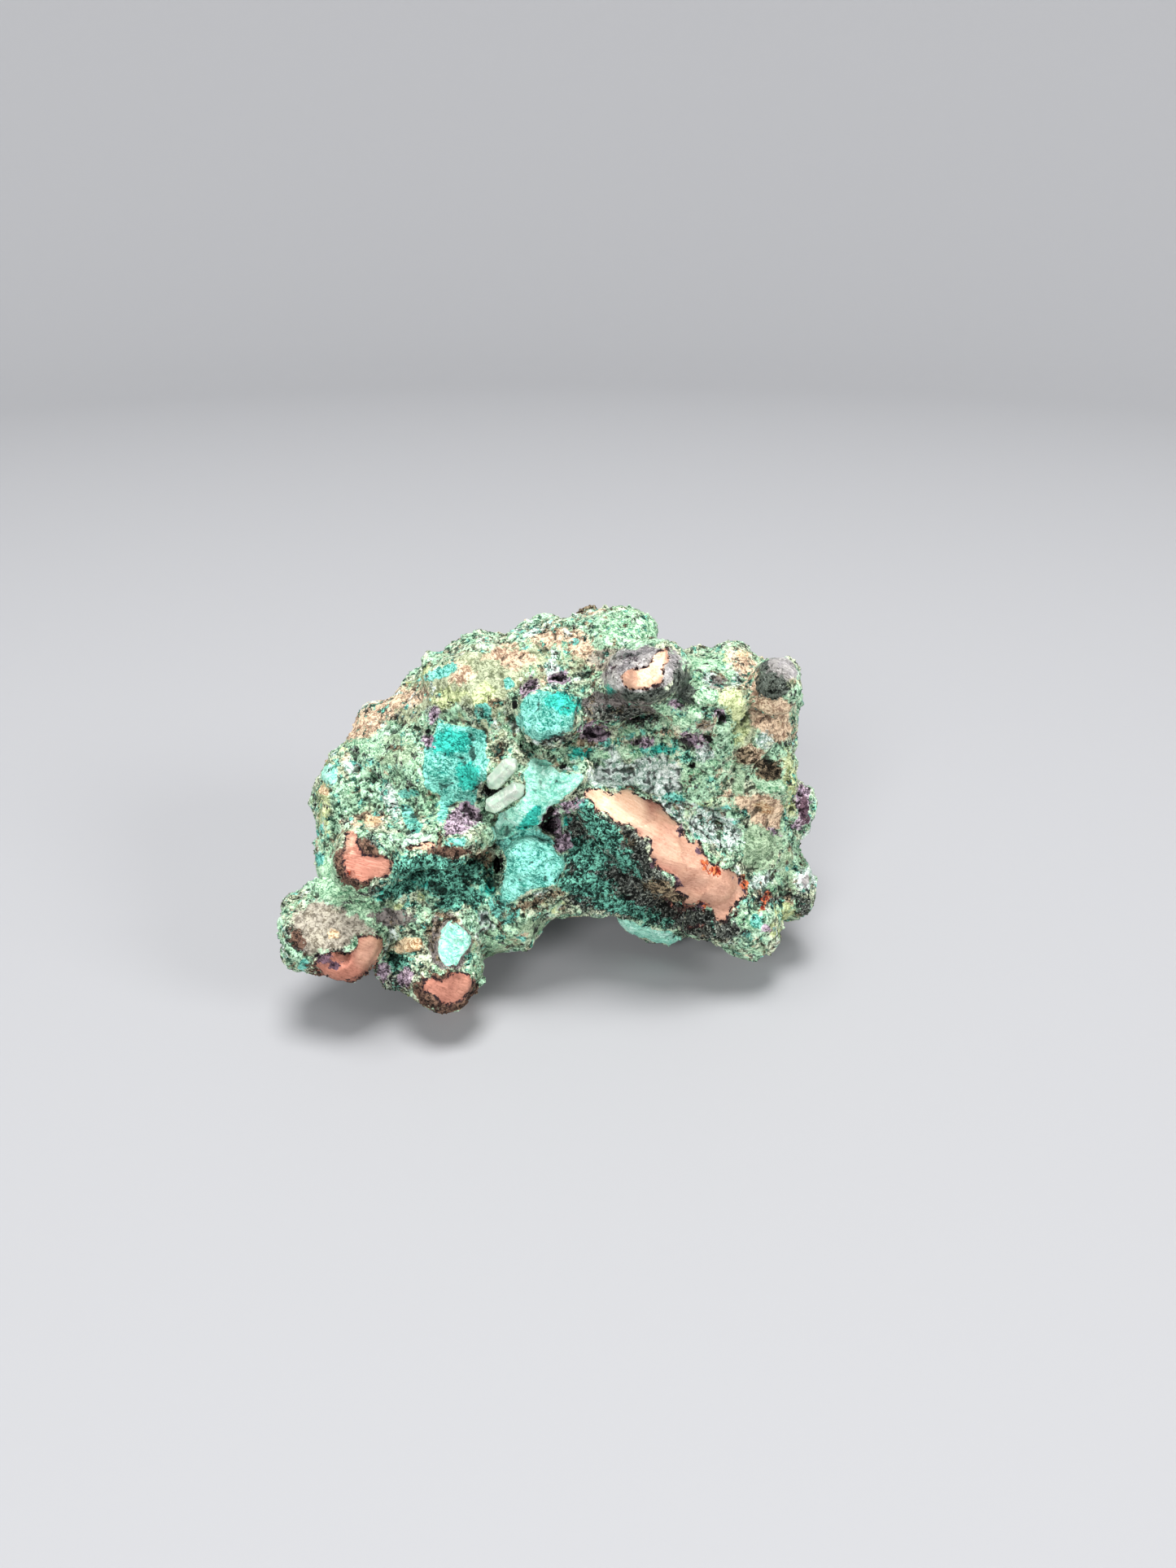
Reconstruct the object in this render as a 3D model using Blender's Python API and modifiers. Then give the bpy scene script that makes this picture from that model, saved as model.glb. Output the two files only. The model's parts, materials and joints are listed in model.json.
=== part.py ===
"""Native copper nugget: an arched lump of copper and crusted matrix with two quartz crystals in a vug.

Every length in the tables is in millimetres. The nugget stands on z = 0 with its best face towards -Y, and
the finished model is centred on x = 0 and y = 0. Each lump or pocket is an ellipsoid: its centre, its three
radii and its lean, the degrees that it is turned clockwise as seen from the front.
"""

import math

import bmesh
import bpy
import numpy as np
from mathutils import Matrix, Vector, noise

MM = 0.001

# Driving dimensions of the finished nugget.
WIDTH = 92.0
DEPTH = 60.0
HEIGHT = 64.0

# The massive core: what is left when every knob and crust is knocked off.
CORE_LUMPS = (
    ("left_shoulder", (-15.6, 2, 31.5), (20.5, 16, 20.3), 0),
    ("left_brow", (-9.5, 2, 50.4), (13, 12, 8.5), 0),
    ("left_edge", (-34.5, -3, 30), (7, 10, 10), 0),
    ("left_low", (-25.5, -7, 21), (14.5, 15, 14), 0),
    ("left_leg_front", (-20, -15, 11), (9, 10, 11.5), 0),
    ("left_leg_inner", (-8, -13, 17), (9, 9, 9.5), -25),
    ("left_leg_back", (-25, 10, 10), (10, 8, 11), 0),
    ("crown", (3, 3, 34), (19, 15, 17), 0),
    ("crown_lip", (5, -9, 22), (17, 9, 10), 0),
    ("top", (3, 4, 49.2), (16, 13, 12), 0),
    ("peak", (12, 3, 55.4), (8, 9, 8), 0),
    ("right_shoulder", (26, 3, 38), (15, 16, 17), 0),
    ("right_corner", (33.6, 2, 45.4), (10, 12, 10), 0),
    ("right_low", (32, 2, 22), (13, 16, 17), 0),
    ("right_leg", (33, 3, 9.6), (11, 12, 10), 0),
    ("back_left", (-10, 13, 36), (20, 10, 16), 0),
    ("back_right", (24, 13, 30), (14, 9, 17), 0),
    ("back_middle", (5, 11, 31), (12, 9, 12), 0),
)

# What stands out of the front: copper knobs and ridges, crust plates and crystal tufts.
FRONT_LUMPS = (
    ("copper_ridge", (19.4, -15.5, 28.4), (18, 6.5, 5.8), 39),
    ("copper_ridge_toe", (32, -12, 14), (9, 8, 8), 20),
    ("under_flap", (20, -5, 9), (9, 4.5, 6.3), 12),
    ("top_copper_knob", (16.4, -12.5, 58.8), (7, 8, 4.4), -10),
    ("top_knob_stem", (12, -10, 53), (10, 5, 3.6), -8),
    ("corner_knob", (37.9, -9, 55.4), (4.2, 6, 4.2), 0),
    ("left_copper_knob", (-28.6, -24, 31.6), (5.4, 7.5, 5.3), 0),
    ("left_copper_ridge", (-19, -18.5, 31.5), (11, 6, 3.3), -8),
    ("left_lobe", (-35, -23, 16.6), (8.5, 9, 6.5), 15),
    ("front_knob", (-17, -26, 11), (6, 7, 6.3), 0),
    ("dark_lump", (-26, -21, 8.5), (4.5, 4.5, 4), 0),
    ("foot_web", (-19, -20, 18), (8, 7, 7), 0),
    ("foot_crust", (-15.5, -25.5, 18), (4, 3, 4.8), 20),
    ("blue_knob", (0.4, -15, 52), (5.2, 5.5, 4.6), 0),
    ("crystal_bed", (-7, -12.6, 42.4), (4.2, 5.4, 6), 35),
    ("upper_plate", (1, -16, 39.5), (8.6, 3.2, 4.2), -38),
    ("lower_plate", (-2, -17.5, 25.5), (6.3, 3, 6.3), 10),
    ("upper_ledge", (27, -11.5, 53), (6, 3, 3.6), 0),
    ("lower_ledge", (24.5, -12.5, 49.4), (5.4, 3, 2.2), 0),
    ("cuprite_tuft", (44, -4, 30), (2.4, 4, 5), 0),
    ("right_knob", (44, -5, 14), (4.5, 6, 6), 0),
    ("right_edge", (38.5, 0, 37), (4.3, 11, 14), 0),
)

# The back, which nobody chose as the best face: broader bosses, one long ridge and a few knobs.
BACK_LUMPS = (
    ("back_ridge", (-16, 22, 36), (16, 4.5, 4.2), -28),
    ("back_boss", (20, 20, 38), (8, 6, 7), 15),
    ("back_crest", (3, 16, 52), (9, 6, 5), -12),
    ("back_side_knob", (-31, 13, 29), (5.5, 6, 6), 0),
    ("back_corner_knob", (39, 13, 45), (5, 5.5, 5), 0),
    ("back_low_plate", (-6, 19, 24), (9, 4.5, 5), 12),
    ("back_heel", (-29, 17, 11), (7, 6, 8), -15),
    ("back_toe", (35, 14, 12), (8, 7, 9), 10),
    ("back_web", (13, 19, 24), (6, 4, 7), 30),
)

# Vugs, cracks and recesses.
POCKETS = (
    ("crystal_hole", (-9.4, -15, 40.4), (2.2, 7, 1.8), 0),
    ("main_vug", (1.4, -18, 33.4), (2.7, 7, 3.4), -15),
    ("slot", (-8.6, -17, 24), (1.5, 7, 3.6), 0),
    ("left_recess", (-18, -25, 26.3), (9, 8, 3.4), -8),
    ("knob_shadow", (4, -18, 46.6), (7, 6, 1.7), 6),
    ("cuprite_pocket", (8.5, -14, 48), (3.6, 5, 3), 0),
    ("top_pocket_left", (-3, -15, 56.3), (3, 7, 2.2), -20),
    ("top_pocket_right", (2.6, -14, 57.4), (2.6, 6, 1.8), 0),
    ("ledge_crack", (25.1, -14, 46), (6, 6, 1.4), 0),
    ("side_hollow", (36.4, -15, 40), (5, 5, 5), 0),
    ("left_pocket_low", (-19.4, -17, 49), (2.4, 4, 2.4), 0),
    ("left_pocket_high", (-17.4, -15, 53), (2, 4, 2.2), 0),
    ("back_vug", (4, 26, 38), (4.5, 7, 3.5), 10),
    ("back_cleft", (-22, 24, 25), (8, 6, 2.2), 20),
    ("back_dimple", (30, 22, 22), (4, 5, 3.5), 0),
    ("top_dimple", (-12, 12, 56), (4, 4, 5), 0),
)

# The crust's relief: the size of its features and how high they stand. The back is rougher than the front.
BROAD_SIZE = 16.0
BROAD_HEIGHT = 1.2
BROAD_HEIGHT_AT_BACK = 3.8
KNOBBLE_SIZE = 5.5
KNOBBLE_HEIGHT = 1.5
CHIP_SIZE = 8.0
CHIP_SLOPE = 0.42
CHIP_SLOPE_AT_BACK = 0.67
BACK_STARTS_Y = -2.0
BACK_FULL_Y = 10.0

# Native copper and the plates keep less of that relief, down to this share of it.
SMOOTH_LUMPS = ("copper_ridge", "top_copper_knob", "corner_knob", "left_copper_knob", "front_knob",
                "crystal_bed", "upper_plate", "lower_plate")
SMOOTHEST = 0.42
SMOOTH_REACH = 0.35  # how far off a smooth lump the relief is full again, in its own radii

# The quartz crystals: centre, length, radius, and how far the long axis rises and turns away, in degrees.
CRYSTALS = (
    ("quartz_crystal_upper", (-6.8, -17.9, 43.7), 7.2, 1.55, 47, 10),
    ("quartz_crystal_lower", (-6.4, -18.6, 39.7), 8.2, 1.6, 33, 6),
)
CRYSTAL_TIP = 0.9  # the height of a crystal's pyramid, in radii
CRYSTAL_SIDES = 6
SOCKET_GAP = 0.3

FUSE_VOXEL = 1.0
POCKET_VOXEL = 0.7
RELIEF_VOXEL = 0.9
SPHERE_DETAIL = 4
NUGGET_TRIANGLES = 9000

# Materials: colour, roughness, metallic, transmission.
CRUST = ((0.22, 0.36, 0.27), 0.78, 0.15, 0.0)
QUARTZ = ((0.86, 0.9, 0.82), 0.12, 0.0, 1.0)


def reset_scene():
    """Removes the startup objects, and returns the nugget's collection and the cutters' one."""
    for obj in list(bpy.data.objects):
        bpy.data.objects.remove(obj)
    made = []
    for name in ("native_copper_nugget", "cutters"):
        collection = bpy.data.collections.new(name)
        bpy.context.scene.collection.children.link(collection)
        made.append(collection)
    return made


def lump_place(centre, radii, lean):
    """Takes the unit sphere to a lump's ellipsoid, in millimetres."""
    turned = Matrix.Translation(Vector(centre)) @ Matrix.Rotation(math.radians(lean), 4, "Y")
    return turned @ Matrix.Diagonal((*radii, 1))


def add_ellipsoids(name, lumps, collection):
    """One object with an ellipsoid for each row of a table."""
    bm = bmesh.new()
    for _, centre, radii, lean in lumps:
        place = Matrix.Scale(MM, 4) @ lump_place(centre, radii, lean)
        bmesh.ops.create_icosphere(bm, subdivisions=SPHERE_DETAIL, radius=1, matrix=place)
    mesh = bpy.data.meshes.new(name)
    bm.to_mesh(mesh)
    bm.free()
    obj = bpy.data.objects.new(name, mesh)
    collection.objects.link(obj)
    return obj


def as_cutter(obj):
    obj.hide_render = True
    obj.display_type = "WIRE"


def add_remesh(obj, voxel_mm):
    remesh = obj.modifiers.new("fuse", "REMESH")
    remesh.mode = "VOXEL"
    remesh.voxel_size = voxel_mm * MM


def add_smooth(obj, factor, repeats):
    smooth = obj.modifiers.new("soften", "SMOOTH")
    smooth.factor = factor
    smooth.iterations = repeats


def cut_away(obj, cutter):
    cut = obj.modifiers.new(cutter.name, "BOOLEAN")
    cut.operation = "DIFFERENCE"
    cut.object = cutter


def bake_modifiers(obj):
    """Replaces the object's mesh with what its modifiers make of it."""
    graph = bpy.context.evaluated_depsgraph_get()
    mesh = bpy.data.meshes.new_from_object(obj.evaluated_get(graph))
    obj.modifiers.clear()
    obj.data = mesh


def chipped(point, cell, slope):
    """The height of a surface broken into tilted facets about one cell across, in millimetres."""
    nearest = noise.voronoi(point / cell)[1][0]
    tilt = noise.cell_vector(nearest * 7.3) - Vector((0.5, 0.5, 0.5))
    return slope * (point - nearest * cell).dot(tilt)


def share_of_relief(point, smooth_frames):
    """SMOOTHEST on a smooth lump, rising to 1 a little way off it."""
    nearest = min((frame @ point).length for frame in smooth_frames)
    return min(1.0, max(SMOOTHEST, (nearest - 1.0) / SMOOTH_REACH))


def relief(point):
    """How far the crust stands proud of the smooth lump at a point, both in millimetres."""
    back = min(1.0, max(0.0, (point.y - BACK_STARTS_Y) / (BACK_FULL_Y - BACK_STARTS_Y)))
    broad_height = BROAD_HEIGHT + (BROAD_HEIGHT_AT_BACK - BROAD_HEIGHT) * back
    broad = noise.fractal(point / BROAD_SIZE, 1.0, 2.0, 2) * broad_height
    knobbly = noise.fractal(point / KNOBBLE_SIZE, 0.8, 2.1, 3) * KNOBBLE_HEIGHT
    broken = chipped(point, CHIP_SIZE, CHIP_SLOPE + (CHIP_SLOPE_AT_BACK - CHIP_SLOPE) * back)
    return broad + knobbly + broken


def add_relief(obj):
    mesh = obj.data
    mesh.update()
    smooth_frames = [lump_place(*row[1:]).inverted() for row in FRONT_LUMPS if row[0] in SMOOTH_LUMPS]
    moved = []
    for vertex in mesh.vertices:
        point = vertex.co / MM
        height = relief(point) * share_of_relief(point, smooth_frames)
        moved.append(vertex.co + vertex.normal * height * MM)
    mesh.vertices.foreach_set("co", np.array(moved).ravel())
    mesh.update()


def cut_floor(obj):
    """Wears the lowest points of the legs flat, at z = 0."""
    bm = bmesh.new()
    bm.from_mesh(obj.data)
    everything = bm.verts[:] + bm.edges[:] + bm.faces[:]
    floor = {"plane_co": (0, 0, 0), "plane_no": (0, 0, 1), "clear_inner": True}
    cut = bmesh.ops.bisect_plane(bm, geom=everything, **floor)
    rim = [item for item in cut["geom_cut"] if isinstance(item, bmesh.types.BMEdge)]
    bmesh.ops.contextual_create(bm, geom=rim)
    bm.to_mesh(obj.data)
    bm.free()


def crystal_place(centre, rise, turn):
    """Lays a crystal's long axis along +X, raised by rise and turned away from the front by turn."""
    place = Matrix.Translation(Vector(centre) * MM) @ Matrix.Rotation(math.radians(turn), 4, "Z")
    return place @ Matrix.Rotation(math.radians(90 - rise), 4, "Y")


def add_crystal(name, place, length, radius, collection):
    """A six-sided prism with a pyramid at each end, its long axis along its own Z."""
    half = length / 2 * MM
    shoulder = half - CRYSTAL_TIP * radius * MM
    profile = ((0, half), (radius * MM, shoulder), (radius * MM, -shoulder), (0, -half))
    mesh = bpy.data.meshes.new(name)
    mesh.from_pydata([(x, 0, z) for x, z in profile], [(0, 1), (1, 2), (2, 3)], [])
    obj = bpy.data.objects.new(name, mesh)
    obj.matrix_world = place
    collection.objects.link(obj)
    turn = obj.modifiers.new("six sides", "SCREW")
    turn.steps = CRYSTAL_SIDES
    turn.render_steps = CRYSTAL_SIDES
    turn.use_merge_vertices = True
    turn.merge_threshold = 0.0001
    turn.use_smooth_shade = False
    return obj


def add_nugget(parts, cutters):
    """The lumps fused into one, less the pockets, then given its relief, thinned out and cut flat below."""
    nugget = add_ellipsoids("nugget", CORE_LUMPS + FRONT_LUMPS + BACK_LUMPS, parts)
    add_remesh(nugget, FUSE_VOXEL)
    add_smooth(nugget, 0.5, 3)
    pockets = add_ellipsoids("pockets", POCKETS, cutters)
    as_cutter(pockets)
    add_remesh(pockets, POCKET_VOXEL)
    cut_away(nugget, pockets)
    add_remesh(nugget, FUSE_VOXEL)
    bake_modifiers(nugget)
    add_relief(nugget)
    add_remesh(nugget, RELIEF_VOXEL)
    bake_modifiers(nugget)
    thin = nugget.modifiers.new("thin", "DECIMATE")
    thin.ratio = NUGGET_TRIANGLES / (2 * len(nugget.data.polygons))
    bake_modifiers(nugget)
    cut_floor(nugget)
    return nugget


def fit_to_size(objects):
    """Scales the finished model to its driving dimensions and centres it over the origin."""
    corners = [obj.matrix_world @ v.co for obj in objects for v in obj.data.vertices]
    low = Vector([min(c[i] for c in corners) for i in range(3)])
    high = Vector([max(c[i] for c in corners) for i in range(3)])
    size = Vector((WIDTH, DEPTH, HEIGHT)) * MM
    scale = Matrix.Diagonal((*[size[i] / (high[i] - low[i]) for i in range(3)], 1))
    base = Vector(((low.x + high.x) / 2, (low.y + high.y) / 2, low.z))
    for obj in objects:
        obj.data.transform(scale @ Matrix.Translation(-base) @ obj.matrix_world)
        obj.matrix_world = Matrix.Identity(4)


def give_material(obj, colour, roughness, metallic, transmission):
    material = bpy.data.materials.new(obj.name)
    material.use_nodes = True
    surface = material.node_tree.nodes["Principled BSDF"]
    surface.inputs["Base Color"].default_value = (*colour, 1)
    surface.inputs["Roughness"].default_value = roughness
    surface.inputs["Metallic"].default_value = metallic
    surface.inputs["Transmission Weight"].default_value = transmission
    obj.data.materials.append(material)


def main():
    parts, cutters = reset_scene()
    nugget = add_nugget(parts, cutters)
    crystals = []
    for name, centre, length, radius, rise, turn in CRYSTALS:
        place = crystal_place(centre, rise, turn)
        crystals.append(add_crystal(name, place, length, radius, parts))
        socket = add_crystal(name + "_socket", place, length + 2 * SOCKET_GAP, radius + SOCKET_GAP, cutters)
        as_cutter(socket)
        cut_away(nugget, socket)
    for obj in [nugget, *crystals]:
        bake_modifiers(obj)
    fit_to_size([nugget, *crystals])
    nugget.data.shade_smooth()
    give_material(nugget, *CRUST)
    for crystal in crystals:
        give_material(crystal, *QUARTZ)


main()
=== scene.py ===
"""Dresses the native copper nugget: its crusted copper, its loose grains and crystals, and a plain stage.

Laid out as an add-on: the sizes and colours are properties, and each piece or group of pieces has its own
operator. Lengths in the tables are in millimetres. The front map is the nugget as the stage's camera sees it:
millimetres across and up, on the plane through the nugget's middle.
"""

import itertools
import json
import math

import bmesh
import bpy
import numpy as np
from bpy.props import FloatProperty, FloatVectorProperty, IntProperty, PointerProperty
from mathutils import Matrix, Vector

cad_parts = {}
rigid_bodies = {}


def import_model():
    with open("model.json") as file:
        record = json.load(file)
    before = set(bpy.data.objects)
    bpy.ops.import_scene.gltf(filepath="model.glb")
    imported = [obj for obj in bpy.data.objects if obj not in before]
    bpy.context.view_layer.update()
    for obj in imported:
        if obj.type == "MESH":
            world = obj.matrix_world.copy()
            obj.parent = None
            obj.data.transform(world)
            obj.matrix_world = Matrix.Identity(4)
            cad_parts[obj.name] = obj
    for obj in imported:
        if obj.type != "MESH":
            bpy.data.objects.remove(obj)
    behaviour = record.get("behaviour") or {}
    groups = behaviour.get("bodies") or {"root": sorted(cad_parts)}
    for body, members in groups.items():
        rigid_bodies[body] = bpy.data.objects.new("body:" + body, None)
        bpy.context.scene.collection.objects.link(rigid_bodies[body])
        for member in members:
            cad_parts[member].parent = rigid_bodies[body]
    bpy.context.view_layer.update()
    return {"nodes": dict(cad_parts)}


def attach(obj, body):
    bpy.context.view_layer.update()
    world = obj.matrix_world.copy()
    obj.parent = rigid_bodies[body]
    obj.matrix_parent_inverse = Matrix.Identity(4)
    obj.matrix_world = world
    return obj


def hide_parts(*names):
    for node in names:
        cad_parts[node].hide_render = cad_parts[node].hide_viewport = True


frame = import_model()

bl_info = {
    "name": "Native copper nugget",
    "version": (1, 0, 0),
    "blender": (4, 5, 0),
    "location": "3D View > Sidebar > Nugget",
    "description": "Builds the crusted copper rock, its grains and crystals, and a plain stage",
    "category": "Object",
}

MM = 0.001
MOST_TRIANGLES = 199000
# How far, in millimetres, a finish's field tells inside from outside of its patches.
FIELD_REACH = 1.5

# The camera: where it stands, how far down it looks, and how far off the nugget's middle plane is.
CAMERA_PLACE = (5.2, -184.4, 128.3)
CAMERA_PITCH = 27.0
CAMERA_REACH = 210.0
LOOK = np.array((0.0, math.cos(math.radians(CAMERA_PITCH)), -math.sin(math.radians(CAMERA_PITCH))))
LOOK_UP = np.array((0.0, math.sin(math.radians(CAMERA_PITCH)), math.cos(math.radians(CAMERA_PITCH))))

# What shows where on the front map. An ellipse is its centre across and up, half width, half height and
# lean in degrees anticlockwise; an outline is its corners.
COPPER_RIDGE = ((4.2, -1.8), (5.2, -0.3), (6.5, -0.8), (9, -1.5), (12, -0.4), (13.2, -0.6), (14, -2),
                (17.5, -3), (19.5, -5), (21, -6.5), (21.4, -8.5), (23.5, -10), (25.3, -10.5), (25.8, -12.5),
                (27, -14.2), (30, -15.2), (32.5, -16), (33.5, -18), (34.3, -19.2), (33, -20.3), (30.8, -22),
                (29.5, -24.5), (28, -24.5), (27, -22.5), (25, -21.5), (22.8, -22.8), (21.5, -22),
                (22.8, -20.3), (20.5, -19.5), (20.8, -16.8), (18.5, -15.5), (17, -14), (16.5, -12.5),
                (16.2, -9.8), (14, -9), (12.5, -7.5), (10, -6.8), (8, -5), (6.5, -5.2), (5.8, -3.4))
LEFT_KNOB = ((-38.4, -8.6), (-36.8, -7.8), (-35.9, -8.8), (-36, -10.7), (-35.2, -12.2), (-32.7, -12.9),
             (-30.8, -12.7), (-29.4, -14.1), (-29.6, -16), (-31.5, -17), (-33.4, -17.4), (-34.9, -17.9),
             (-36.8, -17), (-38.4, -15.7), (-38.7, -13.5), (-38.5, -11.3))
LOBE_COPPER = ((-36.2, -27), (-35.2, -26.7), (-31.5, -27), (-31.3, -28.6), (-30.8, -29.5), (-31.8, -30.5),
               (-32.4, -32.4), (-34, -33.6), (-36.5, -35.2), (-40, -35.4), (-41.2, -34.9), (-43.7, -32.7),
               (-43.4, -31.1), (-42.2, -30.2), (-39.7, -29.9), (-37.8, -30.2), (-36.5, -29.2), (-36.2, -28.3))
FRONT_KNOB = ((-24.2, -34.9), (-23, -34.1), (-21.1, -34.6), (-19.2, -33.6), (-17, -33.3), (-15.3, -34.3),
              (-15.4, -35.8), (-16.4, -37.7), (-17.6, -39), (-19.5, -39.9), (-21.4, -39.3), (-23, -38),
              (-24.5, -36.5))
TOP_KNOB = ((10.9, 18.9), (11.6, 19.7), (12.7, 20.3), (14.5, 20.7), (15.8, 21.2), (16.2, 21.9), (16.9, 23.1),
            (18.6, 24), (19.8, 23.8), (19.6, 22.2), (19, 20.7), (18.8, 18.6), (18.1, 17.5), (15.8, 16.9),
            (13.2, 16.7), (11.1, 17.3))
UPPER_PLATE = ((-5, 4.9), (-1.3, 3.7), (0.2, 2.3), (4, 2.2), (4.2, 0.8), (2.8, -0.7), (0.8, -2.7),
               (-1, -3.3), (-2.3, -4.7), (-2.7, -6.5), (-3.9, -8.2), (-6.8, -8.5), (-8.2, -9.6),
               (-11.1, -10.2), (-12, -7.9), (-10.6, -5.6), (-7.9, -3.9), (-5.9, -2.1), (-5.9, 0.5),
               (-6.2, 2.3), (-5.6, 4))
LOWER_PLATE = ((-3.9, -8.2), (-1.3, -9.4), (-0.5, -11.7), (0.2, -12.6), (1.5, -14.3), (1.4, -15.2),
               (-0.1, -16.9), (-0.1, -18.1), (-2.7, -18.7), (-5, -19), (-6.8, -20.1), (-8.8, -21.3),
               (-10.3, -21), (-10.7, -18.7), (-10, -17.2), (-9.7, -14.9), (-9.7, -12.9), (-10.6, -12),
               (-11.1, -10.4), (-8.2, -9.6), (-6.8, -8.6))
# The fold between the two plates, where painted shade lies.
PLATE_FOLD = ((-3.4, -3.9), (-2.6, -5), (-3, -6.6), (-4.1, -8), (-6.6, -8.5), (-7.9, -8.9), (-7.2, -7.4),
              (-5.6, -5.6), (-4.4, -4.4))
UNDER_RIDGE = ((0.5, -9.5), (2, -5.5), (5.8, -3.4), (8, -5), (12.5, -7.5), (16.2, -9.8), (17, -14),
               (20.5, -16.5), (20.5, -19.5), (23, -20.5), (26, -21.5), (27, -24), (22, -27), (16, -24.6),
               (9, -23.6), (2, -22), (0.6, -18.5), (1.5, -14), (0.4, -11))
MAIN_VUG = ((-0.5, -3.4), (-0.1, -5.6), (0.4, -7.3), (0.5, -8.2), (-0.3, -9.5), (-1.3, -9.1), (-2.6, -8.4),
            (-3.7, -7.6), (-3.4, -6.7), (-2.4, -5), (-1.9, -3.9))
CRYSTAL_GAP = ((-13.4, -0.1), (-9.9, -0.5), (-11.2, -1.7), (-12.9, -3.2))
PLATE_SLOT = ((-11.4, -12.6), (-10.1, -12.3), (-10, -15.4), (-11.5, -16))
AQUA_FACE = ((-21.5, 11), (-17, 10.6), (-13.5, 9.8), (-13, 7), (-12.8, 4), (-13.5, 1), (-14.5, -2),
             (-15, -4.5), (-17, -2.6), (-19.5, -3.4), (-20.5, -8), (-21.5, -6), (-21, -2), (-24, -1),
             (-24.5, 3), (-23.5, 7))
MINT_LEDGE = ((23.4, 22.7), (26.2, 22.4), (27.7, 20.6), (29.8, 19.5), (25.2, 19.9), (25.5, 18.1),
              (28.4, 16.6), (29.1, 14.5), (25.5, 13.8), (22.6, 15.2), (21.9, 16.3), (23.4, 17.7),
              (23.4, 20.2))
PALE_PLATE = ((-19.8, -24.7), (-18.6, -24.7), (-17, -25.8), (-16.1, -27.6), (-16.1, -29.2), (-17.6, -30.5),
              (-18.3, -32.4), (-20.1, -32.7), (-21.4, -30.8), (-21.9, -28), (-20.8, -25.8))
LOBE_TOP = ((-47.8, -24.5), (-45.5, -22), (-42.9, -20.4), (-40, -22), (-36.5, -23.5), (-33.4, -25.2),
            (-33.2, -26.6), (-36, -26.8), (-38, -28.5), (-39.5, -29.8), (-42.5, -29.8), (-45, -30.5),
            (-47, -28))
MINT_SLOPE = ((-43.2, -13), (-40.6, -13.2), (-38.8, -17.6), (-35, -18.6), (-32.4, -20.4), (-31.4, -23.6),
              (-33.2, -25), (-36.5, -23.3), (-40, -21.8), (-43.2, -19.8))
PURPLE_WEDGE = ((-20.2, -9), (-20, -6), (-18.5, -4.5), (-16.2, -2.8), (-14, -5), (-13.2, -7), (-15.5, -7.6),
                (-17.5, -9))
UNDER_FLAP = ((9, -23.7), (12, -24), (16, -25.2), (19.5, -26.3), (23.7, -28.6), (19, -28.4), (13, -27.2),
              (11, -25.6))
INNER_LEG = ((-15, -32), (-11, -27), (-6, -24.5), (-1, -24), (3, -24.2), (-3, -26.4), (-8, -29), (-12, -32.5))

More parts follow.
